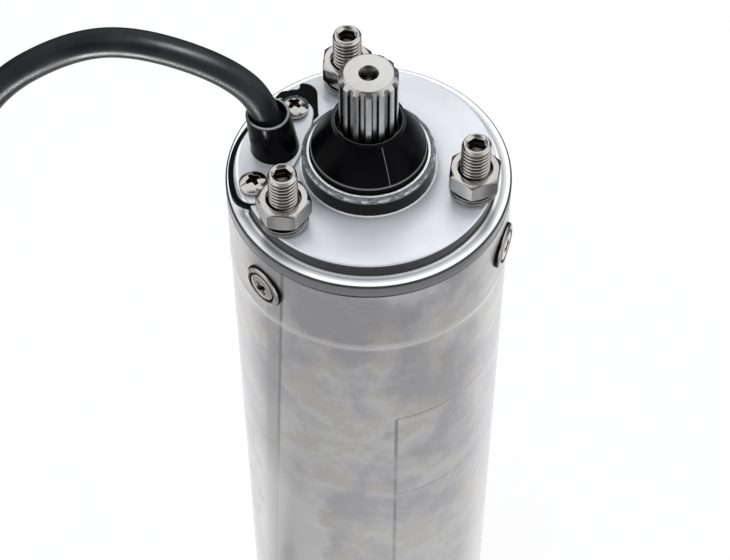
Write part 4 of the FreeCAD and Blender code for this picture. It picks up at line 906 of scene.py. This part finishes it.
def make_side_screws():
    face = SHELL + SIDE_FACE
    head = 4.0
    shank = 2.0
    crown = 0.3
    rings = [
        (0, face - 8.4),
        (shank, face - 8.4),
        (shank, face - 2.5),
        (head - 0.15, face - 0.12),
        (head, face),
        (head - 0.35, face + 0.12),
        (head * 0.7, face + 0.2),
        (head * 0.4, face + 0.27),
        (0, face + crown),
    ]
    screw = cut(lathe(rings, 72, closed=False), cross_cutter(face + crown, 1.3, 2.1, 1.0), 0.04)
    places = side_places()
    backs = [place.inverted() for place in places]

    # Painted shade in the cross recess and under the head's edge
    def grime(v):
        for back in backs:
            local = back @ v
            off = local.xy.length
            if abs(local.z - face) < 4 and off < 6:
                level = face - 0.1 if off > 3 else face + crown - 0.013 * off**2
                return clamp((level - local.z - 0.01) / 0.05)
        return 0.0

    # Painted shade on the cup washers' inner slope, next to the head
    def throat(v):
        off = min((back @ v).xy.length for back in backs)
        return clamp((4.75 - off) / 0.1)

    foot = SHELL + 0.4
    washer = [
        (4.3, foot, 0),
        (4.6, face - 0.05, 0.05),
        (5.1, face + 0.14, 0.2),
        (5.9, face - 0.1, 0.35),
        (6.2, foot, 0.15),
    ]
    seal = [(3.9, BORE, 0), (6.2, BORE, 0), (6.25, foot, 0.12), (3.9, foot, 0)]
    screws = repeated(screw, places)
    washers = repeated(lathe(rounded(washer, 4), 72), places)
    seals = repeated(lathe(rounded(seal, 4), 72), places)
    steel = "fastener_steel"
    framed("side_screw_heads", screws, steel, "side_screws", grime=grime, shade=lambda v: 0.1)
    framed("cup_washer_rings", washers, steel, "cup_washers", grime=throat, shade=lambda v: 0.25)
    framed("side_seal_rings", seals, "seal_rubber", "side_seal_washers")


# Studs, nuts and spring washers
def hexagon(angle, apothem, sharpness=46):
    """Radius of a hexagon with slightly rounded corners, a flat facing angle nought."""
    total = sum(abs(cos(angle - pi / 3 * k)) ** sharpness for k in range(3))
    return apothem / total ** (1 / sharpness)


def make_studs():
    core = 3.6
    crest = 3.8
    root = 3.2
    pitch = 1.25
    per_turn = 12
    thread_low = NUT_TOP - 1.1
    face = 3.15
    mouth = 2.85
    socket = 2.0
    socket_low = STUD_TOP - 4.2

    def thread(level):
        def ring(angle):
            t = (level / pitch - angle / TAU) % 1.0
            ridge = 0.5 + 0.5 * cos(TAU * (t - 0.5))
            radius = root + (crest - root) * ridge
            return min(radius, face + (STUD_TOP - level) * 0.9 + 0.02), level
        return ring

    def hexed(apothem, level):
        return lambda angle: (hexagon(angle, apothem), level)

    rise = STUD_TOP - thread_low
    count = int(rise / pitch * per_turn)
    rings = [(0, STUD_LOW), (core - 0.7, STUD_LOW), (core, STUD_LOW + 0.7), (core, thread_low)]
    rings += [thread(thread_low + (rise - 0.05) * k / count) for k in range(count + 1)]
    rings += [(face - 0.1, STUD_TOP), (mouth, STUD_TOP), (mouth - 0.1, STUD_TOP - 0.12)]
    rings += [hexed(socket + 0.12, STUD_TOP - 0.55), hexed(socket, STUD_TOP - 0.75)]
    rings += [hexed(socket, socket_low), (1.2, socket_low - 0.3), (0, socket_low - 0.7)]
    places = stud_places([turn + 0.3 for turn in NUT_TURNS])

    # Painted shade in the hex socket, darker deeper down, and in the thread's roots
    def grime(v):
        off = away_from(places, v).length
        if off < mouth - 0.25:
            return max(0.0, min(0.82, (STUD_TOP - 0.6 - v.z) / 0.5))
        if v.z > STUD_TOP - 0.7:
            return 0.0
        return clamp((crest - 0.1 - off) / 0.22)

    form = repeated(lathe(rings, 72, closed=False), places)
    framed("stud_threads", form, "fastener_steel", "mounting_studs", sharp=50, grime=grime)


def make_nuts():
    flat = NUT_HALF - 0.35
    slope = tan(radians(30))
    mouth = 4.55
    bore = 3.95

    def flank(inset, level, falling):
        """A ring on the six sides, which follows the chamfer up from its level or down from it."""
        def ring(angle):
            drop = (hexagon(angle, NUT_HALF) - flat) * slope
            return hexagon(angle, NUT_HALF) - inset, level - drop if falling else level + drop
        return ring

    rings = [
        (bore, NUT_LOW),
        (flat, NUT_LOW),
        flank(0.12, NUT_LOW - 0.05, False),
        flank(0.0, NUT_LOW + 0.08, False),
        flank(0.0, NUT_TOP - 0.14, True),
        flank(0.02, NUT_TOP - 0.1, True),
        flank(0.14, NUT_TOP + 0.02, True),
        (flat + 0.08, NUT_TOP - 0.04),
        (flat - 0.12, NUT_TOP),
        (mouth + 0.1, NUT_TOP),
        (mouth, NUT_TOP - 0.05),
        (bore, NUT_TOP - 0.9),
    ]
    places = stud_places(NUT_TURNS)

    # Painted shade in the bore's mouth and along the bottom of the nut
    def grime(v):
        inner = clamp((4.4 - away_from(places, v).length) / 0.3)
        under = clamp((NUT_LOW + 0.25 - v.z) / 0.3)
        return max(inner, under) * 0.9

    # Painted shade on the flats: darker on flats facing right, none on a flat facing the front
    def shade(v):
        away = away_from(places, v)
        if away.length < flat + 0.1 or v.z > NUT_TOP - 0.1:
            return 0.0
        side = away.normalized()
        return max(0.0, 0.55 + 0.2 * side.x - 0.7 * max(0.0, -side.y) ** 12)

    form = repeated(lathe(rings, 96), places)
    framed("stud_nut_hexes", form, "fastener_steel", "stud_nuts", sharp=20, grime=grime, shade=shade)


def make_spring_washers():
    inner = 4.1
    outer = 6.3
    thick = 2.0
    rise = NUT_LOW - 0.1 - PLATE - thick
    gap = 0.11
    sweep = TAU - 2 * gap
    corners = [
        (inner, 0, 0.15),
        (outer - 0.2, 0, 0.1),
        (outer, 0.3, 0.1),
        (outer, 0.95, 0.1),
        (outer - 0.5, 1.1, 0),
        (outer - 0.5, 1.3, 0),
        (outer - 0.15, 1.4, 0.1),
        (outer - 0.15, thick, 0.15),
        (inner, thick, 0.15),
    ]
    section = rounded(corners, 3)
    steps = 96
    loops = []
    for k in range(steps + 1):
        t = k / steps
        angle = gap + sweep * t
        loops.append([(*on_circle(radius, angle), PLATE + level + rise * t) for radius, level in section])
    places = stud_places(SPLIT_TURNS)
    backs = [place.inverted() for place in places]

    # Painted shadow along the bottom of the coil, and painted shade in the notch on its outer side
    def grime(v):
        local = min((back @ v for back in backs), key=lambda point: point.xy.length)
        turn = atan2(local.y, local.x) % TAU
        level = local.z - PLATE - rise * (turn - gap) / sweep
        notch = local.xy.length < outer - 0.3 and 1.0 < level < 1.35
        return 1.0 if level < 0.2 or notch else 0.0

    form = repeated(slab(loops), places)
    steel = "fastener_steel"
    framed("spring_washer_coils", form, steel, "spring_washers", sharp=40, grime=grime, shade=lambda v: 0.6)


# Seal housing and slinger
def make_seal_housing():
    low = low_of("seal_housing")
    neck = 13.0
    shaft_hole = 9.5
    ledge = COLLAR_TOP - 7.7
    floor = low + 2
    corners = [
        (shaft_hole, low, 0),
        (COLLAR_BORE, low, 0.3),
        (COLLAR_BORE, PLATE, 0),
        (COLLAR_OUT, PLATE, 0),
        (COLLAR_OUT, COLLAR_TOP, 0.45),
        (COLLAR_LIP, COLLAR_TOP + 0.7, 0.2),
        (COLLAR_INSIDE, COLLAR_TOP + 0.8, 0.12),
        (COLLAR_INSIDE, ledge, 0),
        (neck, ledge, 0),
        (neck, floor, 0),
        (shaft_hole, floor, 0),
    ]
    framed("seal_collar", lathe(rounded(corners, 6), 192), "housing_steel", "seal_housing")


def near(angle, target, width):
    """One at the target angle, falling to nought at the width to each side."""
    off = (angle - target + pi) % TAU - pi
    return max(0.0, 1 - (off / width) ** 2)


def make_slinger():
    low = low_of("sand_slinger")
    top = top_of("sand_slinger")
    bore = 8.05
    hub = 9.9
    neck = 8.9
    lip = 9.5
    lip_in = 8.65
    skirt = 15.1
    skirt_in = skirt - 1.6
    skirt_low = top - 14.2
    skirt_high = top - 10.4
    web = top - 10.7
    steps = 16
    seam = radians(-68.5)
    burr = radians(-152.0)
    sheen_side = radians(158.0)
    bright_side = radians(12.0)

    def ridge(radius, level):
        return lambda a: (radius + 0.13 * near(a, seam, 0.22 / radius), level)

    def burred(radius, level, height, width):
        return lambda a: (radius + height * near(a, burr, width), level)

    rings = [(bore, low), (hub, low), (hub, web), (skirt_in, web), (skirt_in, skirt_low), (skirt, skirt_low)]
    rings += [(skirt, skirt_high - 0.2), (skirt, skirt_high - 0.1), (skirt, skirt_high)]
    rings += [(skirt - 0.12, skirt_high + 0.1), (skirt - 0.3, skirt_high + 0.3)]
    for k in range(1, steps + 1):
        t = k / steps
        radius = skirt - 0.3 + (neck + 0.3 - skirt) * t + 0.5 * sin(pi * t) * (1 - t * 0.4)
        rings.append(ridge(radius, skirt_high + 0.3 + (top - 1.7 - skirt_high) * t))
    rings += [burred(lip, top - 0.95, 0.35, 0.09), burred(lip + 0.05, top - 0.75, 0.5, 0.07)]
    rings += [(lip, top - 0.15), (lip - 0.15, top), (lip - 0.5, top), (lip_in + 0.2, top)]
    rings += [(lip_in + 0.03, top - 0.15), (lip_in, top - 2.7), (bore, top - 2.9)]

    # Painted highlights along the mould seam, around the lip and on the skirt's top corner; painted sheen on
    # the left side, a little on the right
    def worn(v):
        angle = atan2(v.y, v.x)
        off = v.xy.length
        line = near(angle, seam, 0.10 / max(1.0, off)) if skirt_high < v.z < top - 1.3 else 0.0
        rim = 0.55 if lip_in - 0.05 < off < lip_in + 0.3 and v.z > top - 0.3 else 0.0
        if lip - 0.2 < off < lip + 0.4 and v.z > top - 1.3:
            rim = 0.3 * near(angle, pi, 0.6) + 0.15 * near(angle, 0.0, 0.5)
        foot = 0.7 if abs(v.z - skirt_high) < 0.12 and off > skirt - 0.2 else 0.0
        painted_sheen = 0.0
        if off > lip + 0.3 and skirt_high < v.z:
            painted_sheen = 0.32 * near(angle, sheen_side, 0.32) + 0.06 * near(angle, bright_side, 0.5)
        return max(line, rim, foot, painted_sheen * min(1.0, (off - lip - 0.3) / 2.5))

    piece("slinger_cone", lathe(rings, 720), "rotor", "slinger_rubber", "sand_slinger", sharp=45, worn=worn)


# Shaft with its splined end
def make_shaft():
    teeth = 14
    pitch = TAU / teeth
    major = 7.6
    root = 6.75
    half_top = 2.0 / 2 / major
    half_root = 0.85 / 2 / root
    start = -pi / 2 + pi / teeth
    spline_low = SHAFT_TOP - 19.2
    chamfer_low = SHAFT_TOP - 1.2
    flat = 6.3
    body = 10.0
    shoulder = 11.0
    journal = 8.5
    groove = 8.1
    neck = 8.0
    sink = 2.6
    drill = 1.3
    lower_shoulder = 51.0
    upper_low = STEP - 28.0
    upper_high = STEP - 16.0

    def tooth(angle):
        """Share of the tooth's height at an angle: nought in a gap, one on a crest."""
        off = abs((angle - start + pitch / 2) % pitch - pitch / 2)
        t = clamp((off - half_root) / (half_top - half_root))
        return t * t * (3 - 2 * t)

    def ring(level, limit=major):
        return lambda angle: (min(root + (major - root) * tooth(angle), limit), level)

    sections = [
        (journal, SHAFT_LOW + 1.8),
        (groove, SHAFT_LOW + 3.0),
        (journal, lower_shoulder),
        (shoulder, lower_shoulder + 5),
        (body, upper_low - 5),
        (shoulder, upper_low),
        (journal, upper_high),
        (neck, spline_low - 0.2),
    ]
    rings = [(0, SHAFT_LOW), (journal - 0.8, SHAFT_LOW)]
    low = SHAFT_LOW + 0.8
    for radius, high in sections:
        rings += [(radius, low), (radius, high)]
        low = high
    rings.append((major, spline_low))
    levels = 10
    rings += [ring(spline_low + (chamfer_low - spline_low) * k / levels) for k in range(levels + 1)]
    steps = 6
    for k in range(1, steps + 1):
        t = k / steps
        rings.append(ring(chamfer_low + (SHAFT_TOP - chamfer_low) * t, major + (flat - major) * t))
    rings += [(flat - 0.25, SHAFT_TOP), (sink, SHAFT_TOP), (sink - 0.15, SHAFT_TOP - 0.15)]
    rings += [(drill + 0.1, SHAFT_TOP - 1.7), (drill, SHAFT_TOP - 2.0), (drill, SHAFT_TOP - 5.5)]
    rings.append((0, SHAFT_TOP - 6.5))

    # Painted shade in the centre hole, on the ring below the spline, in the gaps between the teeth and low
    # on the teeth, and a little on the end face's outer ring
    def grime(v):
        off = v.xy.length
        if v.z > SHAFT_TOP - 0.02 or off < 0.01:
            return 0.25 if off > flat - 0.1 else 0.0
        if off < sink - 0.05:
            return 0.82 if off > drill + 0.05 else 0.5
        if spline_low - 1 < v.z <= spline_low + 0.01:
            return 0.95
        if spline_low < v.z < SHAFT_TOP - 0.2:
            share = tooth(atan2(v.y, v.x))
            gap = 1.0 if 0.04 < share < 0.96 else 0.25 * (1 - share)
            foot = clamp((spline_low + 4.5 - v.z) / 4.0) * 0.75
            high = clamp((SHAFT_TOP - 0.2 - v.z) / 2.0)
            return max(gap * high, foot * max(0.25, gap))
        return 0.0

    def shade(v):
        return 0.1 if v.xy.length > flat - 0.05 and v.z < SHAFT_TOP - 0.1 else 0.0

    form = lathe(rings, teeth * 24, start, closed=False)
    piece("shaft_spline", form, "rotor", "shaft_steel", "shaft", sharp=30, grime=grime, shade=shade)


# Lead, ties, cores and ferrules
def coil_points():
    """Centre line of the coil, clockwise from above, from the top layer's outer turn to the floor's."""
    outer = COIL_INNER + CABLE_OD
    high = COIL_LIFT + CABLE_OD * 1.5
    low = COIL_LIFT + CABLE_OD / 2
    stops = [(0.0, outer, high), (0.8, outer, high), (1.0, COIL_INNER, high), (1.8, COIL_INNER, high)]
    stops += [(2.0, COIL_INNER, low), (2.8, COIL_INNER, low), (3.0, outer, low), (3.5, outer, low)]
    per_turn = 20
    points = []
    for k in range(1, int(3.5 * per_turn) + 1):
        turn = k / per_turn
        for (t0, r0, z0), (t1, r1, z1) in zip(stops, stops[1:]):
            if t0 <= turn <= t1:
                share = (turn - t0) / (t1 - t0)
                break
        ease = share * share * (3 - 2 * share)
        radius = (r0 + (r1 - r0) * ease) / cos(pi / per_turn) ** 0.66
        x, y = on_circle(radius, pi / 2 - TAU * turn)
        points.append((COIL_X + x, COIL_Y + y, z0 + (z1 - z0) * ease))
    return points


def new_curve(name, radius, roundness):
    curve = bpy.data.curves.new(name, "CURVE")
    curve.dimensions = "3D"
    curve.bevel_depth = radius * MM
    curve.bevel_resolution = roundness
    curve.use_fill_caps = True
    return curve


def add_spline(curve, points):
    spline = curve.splines.new("NURBS")
    spline.points.add(len(points) - 1)
    for target, point in zip(spline.points, points):
        target.co = (*(c * MM for c in point), 1.0)
    spline.order_u = 3
    spline.use_endpoint_u = True
    return spline


def make_cable():
    tail_y = COIL_Y - COIL_INNER - CABLE_OD
    tail_z = COIL_LIFT + CABLE_OD / 2
    tail = [(COIL_X - TAIL_LENGTH * t, tail_y, tail_z) for t in (0.35, 0.7, 1.0)]
    curve = new_curve("motor_lead", CABLE_OD / 2, 8)
    add_spline(curve, CABLE_ROUTE + coil_points() + tail)
    curve.materials.append(MATERIALS["cable_rubber"])
    lead = new_object("motor_lead", curve)
    settle(lead, "motor_frame", "cable_rubber", "motor_cable", "cable_coil", "cable_tail")
    ties = make_ties()
    cores, ferrules = make_cores(tail_y, tail_z)


def box_outline(x0, x1, y0, y1, radius, steps):
    corners = [(x0, y0, radius), (x1, y0, radius), (x1, y1, radius), (x0, y1, radius)]
    return rounded(corners, steps)


def make_ties():
    inner = COIL_INNER - CABLE_OD / 2 - 0.3
    outer = COIL_INNER + CABLE_OD * 1.5 + 0.3
    low = COIL_LIFT - 0.3
    high = COIL_LIFT + 2 * CABLE_OD + 0.3
    thick = 0.8
    half = 4.25
    head_half = 4.5
    inside = box_outline(inner, outer, low, high, 3.2, 8)
    outside = box_outline(inner - thick, outer + thick, low - thick, high + thick, 3.2 + thick, 8)
    edges = ((inside, half), (inside, -half), (outside, -half), (outside, half))
    band = slab([[(x, y, z) for x, z in loop] for loop, y in edges], closed=True)
    head = box_outline(outer - 9, outer - 2, -head_half, head_half, 0.6, 4)
    strap = joined([band, prism(head, high + 0.2, high + thick + 0.5)])
    places = [about(COIL_X, COIL_Y, turn) for turn in (0.0, pi)]
    return framed("coil_tie_straps", repeated(strap, places), "tie_nylon", "coil_ties")


def make_cores(tail_y, tail_z):
    """Four sheathed cores that leave the tail, each with a crimped ferrule."""
    start = COIL_X - TAIL_LENGTH
    end = start - CORE_LENGTH
    circle = 2.1
    colours = [(0.055, 0.022, 0.01), (0.012, 0.012, 0.013), (0.16, 0.165, 0.17), (0.02, 0.11, 0.03)]
    curve = new_curve("lead_cores", CORE_OD / 2, 5)
    places = []
    back = Matrix.Rotation(-pi / 2, 4, "Y")
    for i, colour in enumerate(colours):
        y, z = on_circle(circle, (i + 0.5) * pi / 2)
        route = [(start + 1.5, 0.55), (start - 4, 1.0), (start - 10, 1.105), (end, 1.0)]
        curve.materials.append(rubber("core_sheath_%d" % (i + 1), colour, 0.38, 0.4, 0.0))
        spline = add_spline(curve, [(x, tail_y + y * spread, tail_z + z * spread) for x, spread in route])
        spline.material_index = i
        places.append(Matrix.Translation((end, tail_y + y, tail_z + z)) @ back)
    cores = new_object("lead_cores", curve)
    settle(cores, "motor_frame", "core_sheath", "cable_cores")
    rings = [(0, 0), (1.3, 0), (1.4, 0.15), (1.4, 1.8), (1.15, 2.2), (1.1, 3.4)]
    rings += [(1.25, 3.7), (1.1, 4.0), (1.1, 6.4), (1.0, 7.9), (0.85, 8.0), (0, 8.0)]
    form = repeated(lathe(rings, 32, closed=False), places)
    return cores, framed("lead_ferrules", form, "ferrule_tin", "core_ferrules")


# Nodes that stay as the frame gives them
def dress_inner_nodes():
    slots = {entry["node"]: entry["material_slot"] for entry in frame["record"]["subparts"]}
    for name, obj in frame["nodes"].items():
        if obj.hide_render:
            continue
        obj.data.materials.clear()
        obj.data.materials.append(MATERIALS[slots[name]])


# Stage: floor, world and lamps, in metres
def make_floor():
    """A white floor that keeps the object's shadow, with soft grey zones that only reflections see."""
    half = 8.0
    level = -0.0006
    mesh = bpy.data.meshes.new("floor")
    corners = [(-half, -half, level), (half, -half, level), (half, half, level), (-half, half, level)]
    mesh.from_pydata(corners, [], [(0, 1, 2, 3)])
    material = bpy.data.materials.new("floor")
    material.use_nodes = True
    material.node_tree.nodes.clear()
    mesh.materials.append(material)
    new_object("floor", mesh)
    s = Nodes(material.node_tree)
    x, y, _ = s.split()
    reach = s.length(x, y)
    aside = s.math("ABSOLUTE", s.math("ARCTAN2", x, s.times(y, -1.0)))
    near_zone = s.span(reach, 0.17, 0.28, 0.66, 1.0)
    far_zone = s.span(reach, 0.42, 0.85, 1.0, 0.0)
    front = s.span(aside, radians(84), radians(118), 1.0, 0.0)
    behind = s.times(s.span(reach, 0.30, 0.42), s.span(aside, radians(95), radians(125)))
    tones = s.mix(s.times(s.times(near_zone, far_zone), front), WHITE, (0.42, 0.42, 0.425))
    diffuse = s.new("BsdfDiffuse", {"Color": (0.86, 0.86, 0.86)})
    white = s.new("Emission", {"Color": WHITE})
    mirrored = s.new("Emission", {"Color": s.mix(behind, tones, (0.10, 0.10, 0.105))})
    path = s.new("LightPath").outputs
    seen = s.blend(s.times(path["Is Camera Ray"], 0.86), diffuse.outputs[0], white.outputs[0])
    surface = s.blend(path["Is Glossy Ray"], seen, mirrored.outputs[0])
    s.new("OutputMaterial", {"Surface": surface})


def make_world():
    """White to look at; reflections see a white studio, dark in front and low down behind."""
    world = bpy.data.worlds.new("studio")
    bpy.context.scene.world = world
    world.use_nodes = True
    world.node_tree.nodes.clear()
    s = Nodes(world.node_tree, "Generated")
    x, y, z = s.split()
    ahead = s.span(s.times(y, -1.0), 0.35, 0.65)
    narrow = s.span(s.math("ABSOLUTE", x), 0.40, 0.88, 1.0, 0.0)
    front = s.times(s.times(ahead, narrow), s.span(z, 0.16, 0.42))
    behind = s.times(s.span(y, 0.15, 0.45), s.span(z, 0.12, 0.34, 1.0, 0.0))
    tones = s.mix(s.math("MAXIMUM", front, behind), WHITE, (0.10, 0.10, 0.105))
    path = s.new("LightPath").outputs
    plain = s.mix(path["Is Glossy Ray"], (0.55, 0.57, 0.6), tones)
    back = s.new("Background", {"Color": s.mix(path["Is Camera Ray"], plain, WHITE)})
    s.new("OutputWorld", {"Surface": back.outputs[0]})


def make_lamp(name, place, size, power, aim=(0.0, 0.0, 0.3), mirrored=False):
    """A soft rectangular lamp, which reflections show only where mirrored is set."""
    data = bpy.data.lights.new(name, "AREA")
    data.shape = "RECTANGLE"
    data.size = size[0]
    data.size_y = size[1]
    data.energy = power
    lamp = new_object(name, data)
    lamp.location = place
    lamp.rotation_euler = (Vector(place) - Vector(aim)).to_track_quat("Z", "Y").to_euler()
    lamp.visible_camera = False
    lamp.visible_glossy = mirrored
    return lamp


def make_rubber_lamps():
    """Lamps that only the rubber pieces catch, for their gloss."""
    black = bpy.data.collections.new("rubber_pieces")
    for name in ("motor_lead", "cable_gland_sleeve"):
        black.objects.link(bpy.data.objects[name])
    streak = make_lamp("streak_lamp", (-0.105, -0.27, 0.0), (0.06, 0.34), 7.0, (-0.03, 0.01, 0.34), True)
    sheen = make_lamp("sheen_lamp", (0.50, -0.07, 1.06), (0.30, 0.22), 16.0, (-0.05, 0.0, 0.37), True)
    for lamp in (streak, sheen):
        lamp.light_linking.receiver_collection = black


make_camera()
MATERIALS = slot_materials()
make_cable()
make_casing()
make_top_cover()
make_bottom_cover()
make_flange()
make_gasket()
make_gland()
make_flange_screws()
make_side_screws()
make_studs()
make_nuts()
make_spring_washers()
make_seal_housing()
make_slinger()
make_shaft()
dress_inner_nodes()
make_floor()
make_world()
make_lamp("key_lamp", (-0.5, -0.7, 1.5), (0.8, 0.7), 8.0)
make_lamp("fill_lamp", (1.1, 0.1, 0.9), (0.9, 0.9), 6.5)
make_lamp("top_lamp", (0.1, 0.5, 1.6), (0.9, 0.6), 8.0)
make_rubber_lamps()

view = bpy.context.scene.view_settings
view.view_transform = "Standard"
